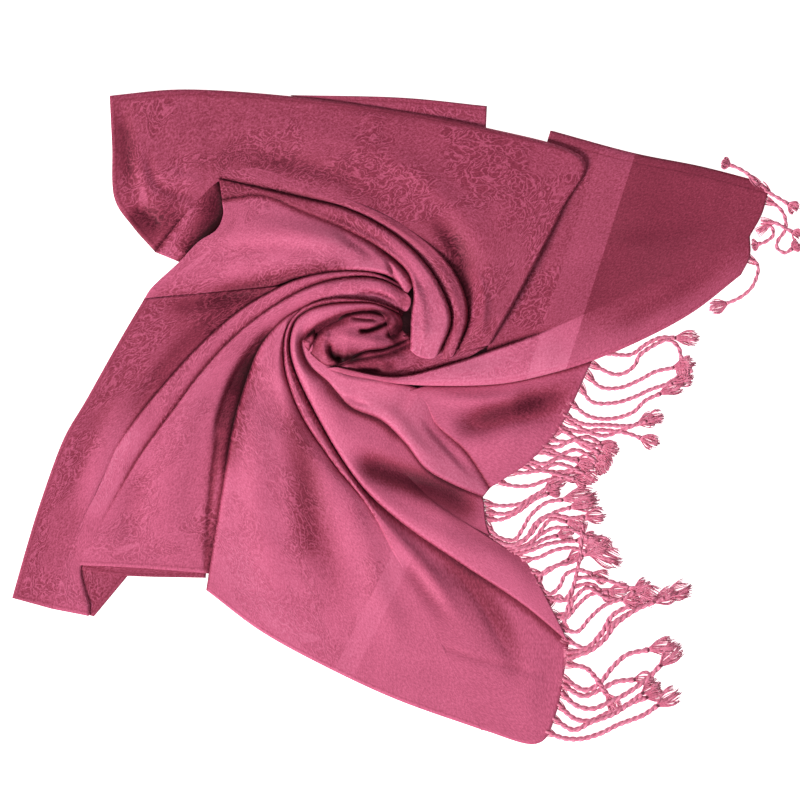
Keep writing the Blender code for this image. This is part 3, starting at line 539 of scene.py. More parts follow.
def stations(sheet, width, step):
    """Distances from the left fold line at every row, closer together over rolled edges."""
    arc = 1 - np.cos(np.linspace(0, math.pi / 2, ROLL_COLUMNS + 1))
    count = max(FEWEST_COLUMNS, int(round(width.max() / step)))
    left, right = (np.minimum(r, WIDEST_ROLL * width) if r else np.zeros_like(width)
                   for r in sheet.roll)
    columns = [left * f for f in arc[:-1]] if sheet.roll[0] else []
    columns += [left + (width - left - right) * f for f in np.linspace(0, 1, count + 1)]
    if sheet.roll[1]:
        columns += [width - right * f for f in arc[:-1][::-1]]
    return np.stack(columns, axis=1)


def rise(s, roll, ease, width):
    """Share of the crown at the distances s from an edge."""
    if roll:
        q = np.minimum(s / np.minimum(roll, WIDEST_ROLL * width), 1)
        return np.sqrt(np.maximum(0, 1 - (1 - q)**2))
    if ease:
        return np.sin(0.5 * math.pi * np.minimum(1, s / (ease * width)))
    return np.ones_like(s)


def crown_at(sheet, u):
    """How far the middle of a sheet stands above its fold lines at the shares u of its run."""
    tip = TIP_CROWNS.get(sheet.name, TIP_CROWN)
    return np.interp(u, (0, 0.5, TIP_START, 1), (*sheet.crown, tip * sheet.crown[2]))


def line_place(sheet, side, u):
    """Where along its left or right fold line a sheet is at the share u of its own run, with
    left_fold counted from the rim as the sheets there are."""
    span = sheet.lspan if side == "left" else sheet.rspan
    t = span[0] + (span[1] - span[0]) * u
    return 1 - t if getattr(sheet, side) == "left_fold" else t


def fold_strength(sheet, side, u):
    """How sharp the fold at one edge is along the sheet, from 0 to 1, how much higher the stretch
    over it stands where the fold has faded, and how soon the sheet rises there."""
    for f in FADINGS:
        if getattr(sheet, side) != f.line or sheet.name not in (f.over, f.under):
            continue
        t = line_place(sheet, side, u)
        sharp = eased(np.interp(t, [p[0] for p in f.places], [p[1] for p in f.places]))
        if sheet.name == f.over or f.ease:
            return sharp, np.zeros_like(u), f.ease
        over = next(q for q in SHEETS if q.name == f.over)
        ends = line_place(over, "left" if over.left == f.line else "right", np.array([0.0, 1.0]))
        u_over = np.clip((t - ends[0]) / (ends[1] - ends[0]), 0, 1)
        return sharp, (crown_at(over, u_over) - crown_at(sheet, u)) * (1 - sharp), f.ease
    return np.ones_like(u), np.zeros_like(u), 0


def fold_points(name, span, u):
    """Points of a fold line at the shares u of the span that a sheet uses of it."""
    return spline(FOLD_LINES[name], span[0] + (span[1] - span[0]) * u)


def bent_end(line, first, last, v, fade):
    """How far the points near one end of a sheet move so that it ends along a line."""
    knots = np.asarray(line, float).copy()
    knots[0], knots[-1] = first, last
    straight = first + (last - first) * v[..., None]
    return fade[:, None, None] * (spline(knots, v) - straight)


# One edge of a sheet: its fold line, how far each point lies from it, how sharp its fold is, how
# much higher the stretch over it stands, how soon the sheet rises where the fold has faded, its
# roll, how soon the crown rises where it is tucked, and whether it is free.
Edge = namedtuple("Edge", "line away sharp meet faded roll tucked free")


def lay_out(sheet):
    """The shares u of a sheet's run, its plan points from rim to hub and from left to right, the
    distances s from its left fold line, its width by row, and its two edges."""
    fine = FINER.get(sheet.name, 1.0)
    probe = np.linspace(0, 1, FOLD_POINTS)
    middle = 0.5 * (fold_points(sheet.left, sheet.lspan, probe)
                    + fold_points(sheet.right, sheet.rspan, probe))
    rows = max(FEWEST_ROWS, int(round(run_of(middle)[-1] / (STEP_ALONG * fine)))) + 1
    u = np.linspace(0, 1, rows)
    left, right = fold_points(sheet.left, sheet.lspan, u), fold_points(sheet.right, sheet.rspan, u)
    width = np.linalg.norm(right - left, axis=1)
    s = stations(sheet, width, STEP_ACROSS * fine)
    w = width[:, None]
    v = s / w
    plan = left[:, None] + (right - left)[:, None] * v[..., None]
    if sheet.rim:
        fade = np.maximum(0, 1 - u / RIM_REACH)**2
        plan = plan + bent_end(RIM_LINES[sheet.rim], left[0], right[0], v, fade)
    if sheet.name in TIP_LINES:
        fade = np.maximum(0, 1 - (1 - u) / TIP_REACHES.get(sheet.name, TIP_REACH))**TIP_POWER
        plan = plan + bent_end(TIP_LINES[sheet.name], left[-1], right[-1], v, fade)
    edges = [Edge(line, away, *fold_strength(sheet, side, u), roll, tucked, side in sheet.free)
             for side, line, away, roll, tucked in zip(("left", "right"), (left, right),
                                                       (s, w - s), sheet.roll, sheet.ease)]
    return u, plan, s, w, edges


def heights(sheet, u, plan, s, w, edges):
    """Heights of a sheet's plan points."""
    if sheet.name in FLAT_LAYERS:
        return np.full_like(s, FLAT_LAYERS[sheet.name])
    left, right = (fold_level(edge.line) + (LAP * edge.sharp if edge.roll else 0)
                   for edge in edges)
    if sheet.name in FAR_LAP:
        start, over, more = FAR_LAP[sheet.name]
        right = right + more * np.clip((u - start) / over, 0, 1)
    lift = 1.0
    for edge in edges:
        sharp, soft = rise(edge.away, edge.roll, edge.tucked, w), rise(edge.away, 0, edge.faded, w)
        if edge is edges[1] and sheet.name in TIP_ROLLS:
            start, over, roll = TIP_ROLLS[sheet.name]
            share = np.clip((u - start) / over, 0, 1)[:, None]
            sharp = sharp + (rise(edge.away, roll, 0, w) - sharp) * share
        lift = lift * (soft + (sharp - soft) * edge.sharp[:, None])
    v = s / w
    z = left[:, None] * (1 - v) + right[:, None] * v + crown_at(sheet, u)[:, None] * lift
    for edge in edges:
        z = z + edge.meet[:, None] * np.exp(-(edge.away / MEET_REACH)**2)
    bent = unevenness(plan) - laid_by_hand(CREASES, sheet.name, plan)
    return np.maximum(z + bent * np.minimum(1, lift + FOLD_CREASED), RIM_LEVEL - CLOTH_SINK)


def from_free_edge(sheet, u, run, edges):
    """Distance of each point from the nearest edge of the cloth itself."""
    left, right = edges
    free = np.full_like(run, FAR_FROM_EDGE)
    if left.free:
        free = np.minimum(free, left.away)
    if right.free:
        folded = np.maximum(0, u - FREE_TO.get(sheet.name, 1.0))[:, None]
        free = np.minimum(free, right.away + FOLD_AWAY * folded)
    if "rim" in sheet.free and sheet.rim not in FRINGED_RIMS:
        free = np.minimum(free, run)
    return free


def painted_crevice_shade(sheet, edges):
    """Painted crevice shade: how far down in the crevice beside a sharp fold each point lies,
    from 0 to 1, as the share of painted shade there.
    """
    deep = np.zeros_like(edges[0].away)
    for edge in edges:
        if sheet.name in FLAT_LAYERS or edge.free:
            continue
        reach = ROLLED_SHADE_REACH if edge.roll else TUCKED_SHADE_REACH
        deep = np.maximum(deep, np.exp(-(edge.away / reach)**2) * edge.sharp[:, None])
    return deep


def with_columns(grid, two, at):
    """A grid of values with two more columns outside its first (0) or its last (-1) one."""
    if at == 0:
        return np.concatenate([np.stack(two[::-1], axis=1), grid], axis=1)
    return np.concatenate([grid, np.stack(two, axis=1)], axis=1)


# The last field is the share of painted shade in the crevice beside a sharp fold.
Grid = namedtuple("Grid", "plan z run across free deep")


def sheet_grid(sheet):
    """A sheet as a grid from rim to hub and from left to right: plan points, heights, run along
    it, place across it, distance from a free edge and the share of painted crevice shade, with
    its edges turned in under their roll or running on under the neighbour."""
    u, plan, s, w, edges = lay_out(sheet)
    left, right = edges[0].line, edges[1].line
    run = np.repeat(run_of(0.5 * (left + right))[:, None], s.shape[1], axis=1)
    grid = Grid(plan, heights(sheet, u, plan, s, w, edges), run, s - 0.5 * w,
                from_free_edge(sheet, u, run, edges), painted_crevice_shade(sheet, edges))
    if sheet.name in FLAT_LAYERS:
        return grid
    across_way = (right - left) / w
    near_rim = RIM_TUCK + (1 - RIM_TUCK) * np.minimum(1, run[:, 0] / RIM_RUN)
    for edge, at, outward in zip(edges, (0, -1), (-1, 1)):
        if edge.roll:
            faded = 1 - edge.sharp
            reach = TUCK * faded - np.minimum(TURN_IN, TURN_SHARE * w[:, 0]) * edge.sharp
            steps = [(0.25 * reach, TURN_DROPS[0]), (reach, TURN_DROPS[1] + TURN_DROPS[2] * faded)]
        else:
            steps = [(0.5 * TUCK, TUCK_DROPS[0]), (TUCK, TUCK_DROPS[1])]
        steps = [(outward * far * near_rim, drop) for far, drop in steps]
        grid = Grid(
            with_columns(grid.plan, [grid.plan[:, at] + across_way * far[:, None]
                                     for far, _ in steps], at),
            with_columns(grid.z, [grid.z[:, at] - drop for _, drop in steps], at),
            with_columns(grid.run, [grid.run[:, at]] * 2, at),
            with_columns(grid.across, [grid.across[:, at] + far for far, _ in steps], at),
            with_columns(grid.free, [grid.free[:, at]] * 2, at),
            with_columns(grid.deep, [grid.deep[:, at]] * 2, at))
    return grid


def new_object(name, verts, faces, material):
    """A smooth mesh object of one material, with its place in its points."""
    mesh = bpy.data.meshes.new(name)
    mesh.from_pydata([tuple(p) for p in verts], [], faces)
    mesh.materials.append(material)
    for face in mesh.polygons:
        face.use_smooth = True
    obj = bpy.data.objects.new(name, mesh)
    bpy.context.scene.collection.objects.link(obj)
    return obj


def apply_modifiers(obj):
    bpy.ops.object.select_all(action="DESELECT")
    obj.select_set(True)
    bpy.context.view_layer.objects.active = obj
    for modifier in list(obj.modifiers):
        bpy.ops.object.modifier_apply(modifier=modifier.name)
    obj.select_set(False)


def point_values(mesh, name, values):
    layer = mesh.attributes.new(name, "FLOAT", "POINT")
    layer.data.foreach_set("value", np.asarray(values, np.float32).ravel())


def weave_map(mesh, uv):
    """Lays each point's place in the weave on the mesh as its UV map."""
    layer = mesh.uv_layers.new(name="weave")
    index = np.empty(len(mesh.loops), np.int32)
    mesh.loops.foreach_get("vertex_index", index)
    layer.data.foreach_set("uv", np.asarray(uv, np.float32)[index].ravel())


# Painted sheen and shade: how light the cloth is painted from rim to hub, at even steps, on
# its left and on its right side, for satin that shows lighter or darker as its run turns to
# the light, and for the shade in its folds.
Tone = namedtuple("Tone", "left right")
PAINTED_SHEEN_AND_SHADE = {
    "top_panel": Tone((0.20, 0.15, 0.15), (0.15, 0.12, 0.17)),
    "corner_fold": Tone((0.56, 0.46, 0.30), (0.24, 0.12, 0.10)),
    "outer_arm": Tone((0.22, 0.20, 0.22), (0.20, 0.22, 0.26)),
    "inner_arm": Tone((0.04, 0.12, 0.42, 0.60, 0.64), (0.02, 0.10, 0.30, 0.52, 0.58)),
    "bright_petal": Tone((0.52, 0.60, 0.56), (0.34, 0.56, 0.50)),
    "left_panel": Tone((0.22, 0.22, 0.18), (0.32, 0.24, 0.16)),
    "left_ridge": Tone((0.38, 0.38, 0.44), (0.42, 0.42, 0.44)),
    "side_panel": Tone((0.46, 0.52, 0.50), (0.42, 0.44, 0.46)),
    "front_panel": Tone((0.50, 0.54, 0.50), (0.46, 0.48, 0.54)),
    "front_ridge": Tone((0.44, 0.48, 0.44), (0.42, 0.44, 0.44)),
    "low_panel": Tone((0.50, 0.60, 0.50), (0.42, 0.46, 0.46)),
    "middle_panel": Tone((0.60, 0.64, 0.50), (0.60, 0.60, 0.46)),
    "upper_panel": Tone((0.48, 0.52, 0.50), (0.38, 0.46, 0.48)),
    "long_strip": Tone((0.42, 0.48, 0.56, 0.62, 0.66, 0.60, 0.44),
                       (0.16, 0.18, 0.20, 0.48, 0.60, 0.56, 0.44)),
    "tail_wrap": Tone((0.24, 0.24, 0.24), (0.24, 0.24, 0.24)),
    "far_panel": Tone((0.17, 0.15, 0.14), (0.19, 0.15, 0.13)),
    "heart_lobe": Tone((0.34, 0.38, 0.38), (0.32, 0.36, 0.34)),
    "curl_strip": Tone((0.34, 0.34, 0.34), (0.34, 0.34, 0.34)),
}
# The same painted sheen for every sheet not listed above.
EVEN_PAINTED_SHEEN = Tone((0.16, 0.16, 0.16), (0.16, 0.16, 0.16))
TROUGH_PAINTED_SHADE, CREVICE_PAINTED_SHADE = 0.068, 0.55  # painted shade: how much darker each mm of a trough and a crevice is painted
SAME_POINT = 1e-6  # points nearer than this, in metres, are one

# The bands woven near a fringed end lie across a way (x, y) on the plan, and this is the plan
# distance along that way at which the fringe starts.
End = namedtuple("End", "x y start")
ENDS = {"far": End(0.952, 0.306, 789), "front": End(0.894, 0.447, 812)}
PLAIN_FROM_END, FIGURED_FROM_END = 60.0, 400.0


def from_end(weave, plan):
    """Distance from the fringed end, across the bands woven near it."""
    if weave in ENDS:
        end = ENDS[weave]
        return end.start - (end.x * plan[..., 0] + end.y * plan[..., 1])
    return np.full(plan.shape[:-1], PLAIN_FROM_END if weave == "plain" else FIGURED_FROM_END)


def painted_light_of(sheet, grid):
    """How light the cloth is painted at each point of a sheet: its painted sheen, the painted
    shade of its troughs and crevices, and the painted shade and highlights laid in.
    """
    tone = PAINTED_SHEEN_AND_SHADE.get(sheet.name, EVEN_PAINTED_SHEEN)
    rows, cols = grid.z.shape
    u, v = np.linspace(0, 1, rows), np.linspace(0, 1, cols)[None]
    left, right = (np.interp(u, np.linspace(0, 1, len(side)), side)[:, None] for side in tone)
    troughs = np.maximum(0, laid_by_hand(CREASES, sheet.name, grid.plan))
    painted_shades = laid_by_hand(PAINTED_SHADE_AND_LIGHT, sheet.name, grid.plan)
    return (left * (1 - v) + right * v - TROUGH_PAINTED_SHADE * troughs + painted_shades
            - CREVICE_PAINTED_SHADE * grid.deep)


class Nodes:
    """Short calls for laying out a material's nodes."""

    def __init__(self, name):
        self.mat = bpy.data.materials.new(name)
        self.mat.use_nodes = True
        self.tree = self.mat.node_tree
        self.shader = self.tree.nodes["Principled BSDF"]

    def node(self, kind, **settings):
        made = self.tree.nodes.new(kind)
        for key, value in settings.items():
            setattr(made, key, value)
        return made

    def feed(self, socket, value):
        if hasattr(value, "is_linked"):
            self.tree.links.new(value, socket)
        else:
            socket.default_value = value

    def fed(self, made, **values):
        """A node with values or links on its named sockets; Out names the one to read."""
        out = values.pop("Out")
        for name, value in values.items():
            self.feed(made.inputs[name.replace("_", " ")], value)
        return made.outputs[out]

    def math(self, operation, a, b=0.0):
        made = self.node("ShaderNodeMath", operation=operation)
        self.feed(made.inputs[0], a)
        self.feed(made.inputs[1], b)
        return made.outputs[0]

    def plus(self, a, b):
        return self.math("ADD", a, b)

    def minus(self, a, b):
        return self.math("SUBTRACT", a, b)

    def times(self, a, b):
        return self.math("MULTIPLY", a, b)

    def value(self, name):
        return self.node("ShaderNodeAttribute", attribute_name=name).outputs["Fac"]

    def weave(self):
        return self.node("ShaderNodeUVMap", uv_map="weave").outputs["UV"]

    def ramp(self, x, low, high):
        """0 below low, 1 above high, smooth between."""
        return self.fed(self.node("ShaderNodeMapRange", interpolation_type="SMOOTHSTEP"),
                        Value=x, From_Min=low, From_Max=high, Out="Result")

    def level(self, x, low, high):
        """0 below low, 1 above high, even between."""
        return self.fed(self.node("ShaderNodeMapRange"),
                        Value=x, From_Min=low, From_Max=high, Out="Result")

    def strip(self, x, low, high, soft):
        """1 between low and high, 0 outside, and soft at both."""
        return self.times(self.ramp(x, low - soft, low + soft),
                          self.minus(1.0, self.ramp(x, high - soft, high + soft)))

    def mix(self, share, a, b):
        return self.fed(self.node("ShaderNodeMix", data_type="RGBA"), Factor=share, A=a, B=b,
                        Out="Result")

    def noise(self, place, scale, detail=2.0, rough=0.5, out="Fac"):
        return self.fed(self.node("ShaderNodeTexNoise", noise_dimensions="2D"), Vector=place,
                        Scale=scale, Detail=detail, Roughness=rough, Out=out)

    def moved(self, place, way, amount):
        """A place moved by a colour, read as a way."""
        shift = self.node("ShaderNodeVectorMath", operation="SCALE")
        self.feed(shift.inputs[0], way)
        self.feed(shift.inputs["Scale"], amount)
        made = self.node("ShaderNodeVectorMath", operation="ADD")
        self.feed(made.inputs[0], place)
        self.feed(made.inputs[1], shift.outputs[0])
        return made.outputs[0]

    def bump(self, height, strength, distance):
        relief = self.fed(self.node("ShaderNodeBump"), Height=height, Strength=strength,
                          Distance=distance, Out="Normal")
        self.feed(self.shader.inputs["Normal"], relief)

    def finish(self, settings):
        for name, value in settings.items():
            self.shader.inputs[name].default_value = value
        return self.mat


# Colours of the cloth from the painted shade of its deepest folds to painted full light, each
# with the tone it belongs to.
Colour = namedtuple("Colour", "tone rgba")
COLOURS = [
    Colour(-0.9, (0.022, 0.0015, 0.004, 1)), Colour(-0.45, (0.088, 0.008, 0.020, 1)),
    Colour(0.0, (0.275, 0.037, 0.072, 1)), Colour(0.5, (0.60, 0.120, 0.226, 1)),
    Colour(1.0, (0.82, 0.26, 0.40, 1)),
]
# What each part of the weave adds to the tone at its strongest.
SLUB, SLOW, TWILL, GRAIN = 0.20, 0.12, 0.03, 0.85
FIGURE, PATCH, SELVEDGE, PALE_BAND, PLAIN_END = 0.31, -0.12, -0.10, 0.09, -0.16
# And what it adds to the relief.
TWILL_RELIEF, FIGURE_RELIEF, GRAIN_RELIEF, SELVEDGE_RELIEF = 0.04, 0.60, 0.9, -0.4
FIGURE_BEND, FIGURE_SHIFT = 120.0, 0.007         # how finely and how far (m) its lines waver
FIGURE_LINES = ((32.0, 36.0), (58.0, 23.0))      # scale and closeness of its two sets of lines
LINE_EDGE, PATCH_EDGE = (0.08, 0.62), (0.44, 0.54)
PATCH_SCALE, BETWEEN_PATCHES = 17.0, 0.3         # its leaves, and what is left of it between them
FIGURE_LEVEL = 0.22                              # its middle, which leaves the tone as it is
CLOTH_ROUGH, FIGURE_ROUGH = 0.56, 0.10           # and the figure is this much less rough
FIGURE_BORDER, SELVEDGE_STRIP = (6.0, 8.0), (3.7, 5.1, 0.5)  # from a free edge, in millimetres
GLARE, GLARE_FADES = (0.32, 0.56), 0.5           # cloth painted bright hides this much of its figure, as painted glare
BAND_SOFT, FIGURE_SOFT = 0.6, 0.5                # how soft the bands and the figure end, in mm
TWILL_PITCH, TWILL_SLANT = 0.0027, 0.6
SLUB_SCALE, SLUB_SHAPE = 900.0, (1.0, 0.12, 1.0)
SLOW_SCALE, GRAIN_SCALE = 14.0, 460.0
STREAK_SCALE, STREAK_EDGE = 420.0, (0.25, 0.75)  # of the yarn


def woven_figure(n, uv):
    """Curled leaves drawn by close wavering contour lines, and the patches that hold them."""
    place = n.moved(uv, n.noise(uv, FIGURE_BEND, out="Color"), FIGURE_SHIFT)
    lines = []
    for scale, turns in FIGURE_LINES:
        wave = n.math("SINE", n.times(n.noise(place, scale, detail=1.0, rough=0.4), turns))
        lines.append(n.minus(1.0, n.ramp(n.math("ABSOLUTE", wave), *LINE_EDGE)))
    patch = n.ramp(n.noise(place, PATCH_SCALE), *PATCH_EDGE)
    share = n.plus(n.times(patch, 1 - BETWEEN_PATCHES), BETWEEN_PATCHES)
    return n.times(n.math("MAXIMUM", *lines), share), patch


def twill_lines(n, uv):
    """Slanting lines of the twill, from 0 to 1."""
    parts = n.node("ShaderNodeSeparateXYZ")
    n.feed(parts.inputs[0], uv)
    slant = n.plus(parts.outputs[0], n.times(parts.outputs[1], TWILL_SLANT))
    wave = n.math("SINE", n.times(slant, 2 * math.pi / TWILL_PITCH))
    return n.plus(n.times(wave, 0.5), 0.5)


def yarn_slubs(n, uv):
    """Thicker and thinner stretches of the yarns, drawn out along their run."""
    stretched = n.node("ShaderNodeMapping")
    n.feed(stretched.inputs["Vector"], uv)
    stretched.inputs["Scale"].default_value = SLUB_SHAPE
    return n.noise(stretched.outputs[0], SLUB_SCALE)


def cloth_material(name, plain_to=0, band=None, dark_to=0):
    """Rose satin twill with a figure woven in its own colour. Near a fringed end it is plain up
    to plain_to, darker up to dark_to, with a paler band, in millimetres from the end."""
    n = Nodes(name)
    uv, end, free = n.weave(), n.value("from_end"), n.value("free_edge")
    figure, patch = woven_figure(n, uv)
    past_plain = n.ramp(end, plain_to - FIGURE_SOFT, plain_to + FIGURE_SOFT)
    inside = n.times(n.ramp(free, *FIGURE_BORDER), past_plain)
    figure, patch = n.times(figure, inside), n.times(patch, inside)
    twill, grain = twill_lines(n, uv), n.noise(uv, GRAIN_SCALE, detail=3.0, rough=0.8)
    selvedge = n.strip(free, *SELVEDGE_STRIP)
    # The tone attribute is painted sheen, shade and highlights; the weave's own changes are added
    # to it.
    laid = n.value("tone")
    glare = n.minus(1.0, n.times(n.ramp(laid, *GLARE), GLARE_FADES))
    changes = [(SLUB, n.minus(yarn_slubs(n, uv), 0.5)),
               (SLOW, n.minus(n.noise(uv, SLOW_SCALE), 0.5)),
               (TWILL, n.minus(twill, 0.5)), (GRAIN, n.minus(grain, 0.5)),
               (FIGURE, n.times(n.minus(figure, FIGURE_LEVEL), glare)), (PATCH, patch),
               (SELVEDGE, selvedge)]
    if band:
        changes.append((PALE_BAND, n.strip(end, *band, BAND_SOFT)))
    if dark_to:
        rest = n.ramp(end, dark_to - BAND_SOFT, dark_to + BAND_SOFT)
        changes.append((PLAIN_END, n.minus(1.0, rest)))
    tone = laid
    for amount, what in changes:
        tone = n.plus(tone, n.times(what, amount))
    colour = COLOURS[0].rgba
    for below, above in zip(COLOURS, COLOURS[1:]):
        colour = n.mix(n.level(tone, below.tone, above.tone), colour, above.rgba)
    n.feed(n.shader.inputs["Base Color"], colour)
    n.feed(n.shader.inputs["Roughness"], n.minus(CLOTH_ROUGH, n.times(figure, FIGURE_ROUGH)))
    relief = n.times(twill, TWILL_RELIEF)
    for amount, what in ((FIGURE_RELIEF, figure), (GRAIN_RELIEF, grain),
                         (SELVEDGE_RELIEF, selvedge)):
        relief = n.plus(relief, n.times(what, amount))
    n.bump(relief, strength=0.55, distance=0.0004)
    return n.finish({"Specular IOR Level": 0.10, "Sheen Weight": 0.03, "Sheen Roughness": 0.45,
                     "Sheen Tint": (1.0, 0.62, 0.74, 1), "Anisotropic": 0.35})


def yarn_material(name, colour, dark, sheen):
    """Yarn with streaks along it."""
    n = Nodes(name)
    streak = n.noise(n.weave(), STREAK_SCALE, detail=3.0)
    n.feed(n.shader.inputs["Base Color"], n.mix(n.ramp(streak, *STREAK_EDGE), dark, colour))
    n.bump(streak, strength=0.5, distance=0.0003)
    return n.finish({"Roughness": 0.6, "Sheen Weight": sheen, "Sheen Tint": (1.0, 0.7, 0.8, 1)})


MATERIALS = {
    "figured": cloth_material("rose_figured_satin"),
    "plain": cloth_material("rose_plain_twill", plain_to=200),
    "front": cloth_material("rose_satin_front_end", plain_to=214, band=(194, 214)),
    "far": cloth_material("rose_satin_far_end", plain_to=172, band=(137, 172), dark_to=137),
    "yarn": yarn_material("rose_fringe_yarn", (0.78, 0.25, 0.37, 1), (0.58, 0.12, 0.21, 1), 0.3),
    # The hidden layers are painted near black, as painted shade for the depths they lie in.
    "layers": yarn_material("rose_lower_layers", (0.20, 0.022, 0.05, 1), (0.11, 0.010, 0.026, 1),
                            0.0),
}


def make_sheet(sheet):
    """One stretch of cloth as a thin closed sheet, in place of its solid."""
    grid = sheet_grid(sheet)
    rows, cols = grid.z.shape
    points = to_metres(np.concatenate([grid.plan, grid.z[..., None]], axis=-1)).reshape(-1, 3)
    faces = [(a, a + 1, a + cols + 1, a + cols)
             for i in range(rows - 1) for a in range(i * cols, (i + 1) * cols - 1)]
    obj = new_object(sheet.name + "_cloth", points, faces, MATERIALS[sheet.weave])
    mesh = obj.data
    point_values(mesh, "from_end", from_end(sheet.weave, grid.plan))
    point_values(mesh, "free_edge", grid.free)
    # The tone attribute holds the painted sheen, painted shade and painted highlights of the sheet.
    point_values(mesh, "tone", painted_light_of(sheet, grid))
    weave_map(mesh, np.stack([grid.across, grid.run], axis=-1).reshape(-1, 2) / MM)
    bm = bmesh.new()
    bm.from_mesh(mesh)
    bmesh.ops.remove_doubles(bm, verts=bm.verts[:], dist=SAME_POINT)
    if sum(f.normal.z * f.calc_area() for f in bm.faces) < 0:
        bmesh.ops.reverse_faces(bm, faces=bm.faces[:])
    bm.to_mesh(mesh)
    bm.free()
    wall = obj.modifiers.new("wall", "SOLIDIFY")
    wall.thickness, wall.offset = CLOTH / MM, -1
    apply_modifiers(obj)
    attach(obj, "root")
    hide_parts(sheet.name)


# The fringe: each row is one twisted strand as it lies, from the hem to the start of its brush.
Strand = namedtuple("Strand", "line brush")
FRINGES = {
    "far_fringe": [
        Strand([(757, 183), (748, 174), (738, 168), (730, 165)], 7),
        Strand([(762, 186), (768, 192), (780, 199), (788, 204)], 9),
        Strand([(765, 200), (778, 207), (785, 218), (785, 230), (778, 240), (777, 248), (785, 253),
                (792, 249)], 7),
        Strand([(763, 222), (775, 223), (785, 228), (792, 232)], 7),
        Strand([(759, 232), (770, 226), (773, 235), (765, 242), (758, 244)], 5),
        Strand([(748, 258), (756, 263), (758, 271), (753, 285), (745, 294), (735, 300), (727, 303)],
               14)],
    "middle_fringe": [
        Strand([(588, 356), (606, 354), (630, 355), (645, 345), (660, 338), (675, 338)], 18),
        Strand([(591, 364), (612, 374), (625, 373), (635, 365), (640, 355), (655, 345), (668, 340),
                (678, 347), (681, 358)], 15),
        Strand([(587, 374), (600, 387), (620, 388), (640, 380), (655, 372), (673, 368)], 17),
        Strand([(580, 386), (592, 402), (615, 403), (635, 397), (650, 390), (672, 383)], 17),
        Strand([(570, 402), (588, 416), (610, 419), (632, 413), (645, 401), (660, 394)], 20),
        Strand([(563, 414), (583, 424), (605, 425), (630, 426), (646, 421)], 14),
        Strand([(556, 426), (580, 432), (600, 430), (625, 433), (640, 438)], 15),
        Strand([(546, 438), (566, 442), (586, 437), (600, 443)], 12),
        Strand([(536, 449), (556, 456), (574, 450), (588, 455), (596, 463)], 11),
        Strand([(520, 462), (536, 471), (556, 464), (572, 468), (584, 474)], 11),
        Strand([(566, 419), (584, 430), (604, 436), (622, 430), (638, 424)], 14),
        Strand([(559, 427), (575, 438), (590, 444), (602, 447)], 13),
        Strand([(551, 434), (566, 432), (580, 444), (594, 451)], 13),
        Strand([(541, 445), (558, 447), (574, 440), (590, 446), (599, 455)], 12),
        Strand([(530, 454), (548, 450), (565, 458), (578, 462)], 14),
        Strand([(525, 459), (543, 464), (560, 458), (578, 459)], 15),
        Strand([(514, 467), (530, 464), (547, 471), (562, 472), (574, 470)], 12),
        Strand([(508, 472), (524, 473), (542, 471), (560, 475), (574, 479)], 12),
        Strand([(497, 481), (512, 486), (530, 486), (545, 481), (562, 478)], 14)],
    "low_fringe": [
        Strand([(484, 503), (500, 506), (520, 504), (534, 496), (545, 490)], 13),
        Strand([(486, 512), (505, 514), (520, 508), (536, 496), (550, 486)], 14),
        Strand([(486, 524), (498, 537), (514, 540), (522, 530), (531, 515), (546, 503), (562, 500)],
               26),
        Strand([(489, 536), (507, 545), (524, 541), (536, 523), (551, 515), (570, 518), (584, 517)],
               16),
        Strand([(485, 518), (500, 520), (518, 512), (534, 500), (548, 494)], 10),
        Strand([(493, 540), (512, 545), (530, 535), (540, 522), (556, 512), (570, 508)], 22),
        Strand([(503, 549), (520, 548), (534, 540), (550, 520), (566, 522)], 16),
        Strand([(514, 554), (530, 551), (545, 545), (560, 542), (576, 541)], 18),
        Strand([(583, 524), (581, 545), (578, 566), (573, 588), (568, 606), (564, 622)], 8),
        Strand([(537, 584), (544, 572), (556, 566), (570, 563), (582, 556)], 24),
        Strand([(549, 604), (558, 596), (565, 600), (574, 588), (590, 584), (600, 590)], 14),
        Strand([(557, 618), (568, 612), (575, 598), (588, 588), (606, 598), (622, 600)], 14),
        Strand([(498, 545), (522, 547), (540, 535), (555, 528), (572, 530), (588, 538)], 20),
        Strand([(508, 552), (529, 547), (545, 539), (557, 536)], 13),
        Strand([(522, 560), (538, 558), (553, 551), (570, 548), (586, 552)], 28),
        Strand([(531, 572), (543, 574), (555, 567), (568, 560)], 13),
        Strand([(536, 582), (549, 594), (560, 586), (565, 575), (578, 570), (592, 574)], 13),
        Strand([(544, 597), (564, 601), (572, 590), (577, 579), (592, 578), (612, 582), (628, 588)],
               26),
        Strand([(553, 614), (566, 618), (577, 606), (590, 595), (608, 592)], 16),
        Strand([(560, 627), (577, 632), (590, 618), (604, 606), (624, 598), (634, 592)], 14),
        Strand([(564, 638), (586, 648), (602, 632), (622, 617), (645, 606), (664, 598)], 22)],
    "front_fringe": [
        Strand([(566, 652), (584, 650), (600, 636), (612, 616), (630, 606)], 15),
        Strand([(567, 658), (588, 652), (604, 640), (616, 624), (636, 610), (654, 602)], 18),
        Strand([(562, 684), (582, 696), (600, 690), (616, 682), (634, 680)], 14),
        Strand([(566, 664), (585, 668), (594, 676), (601, 686), (606, 694)], 15),
        Strand([(563, 678), (584, 690), (600, 683), (612, 668), (627, 655), (648, 650)], 22),
        Strand([(561, 692), (575, 705), (592, 709), (608, 703), (626, 694), (646, 680), (660, 666)],
               22),
        Strand([(558, 704), (573, 718), (590, 721), (606, 714), (625, 706), (642, 694)], 16),
        Strand([(553, 718), (573, 730), (592, 722), (612, 715), (630, 704), (646, 698)], 14),
        Strand([(546, 731), (562, 738), (582, 739), (602, 733), (618, 725), (642, 716), (657, 706)],
               20)],
}
PLY, PLY_APART = 1.45, 0.80     # radius of a ply, and how far it winds from the strand's middle
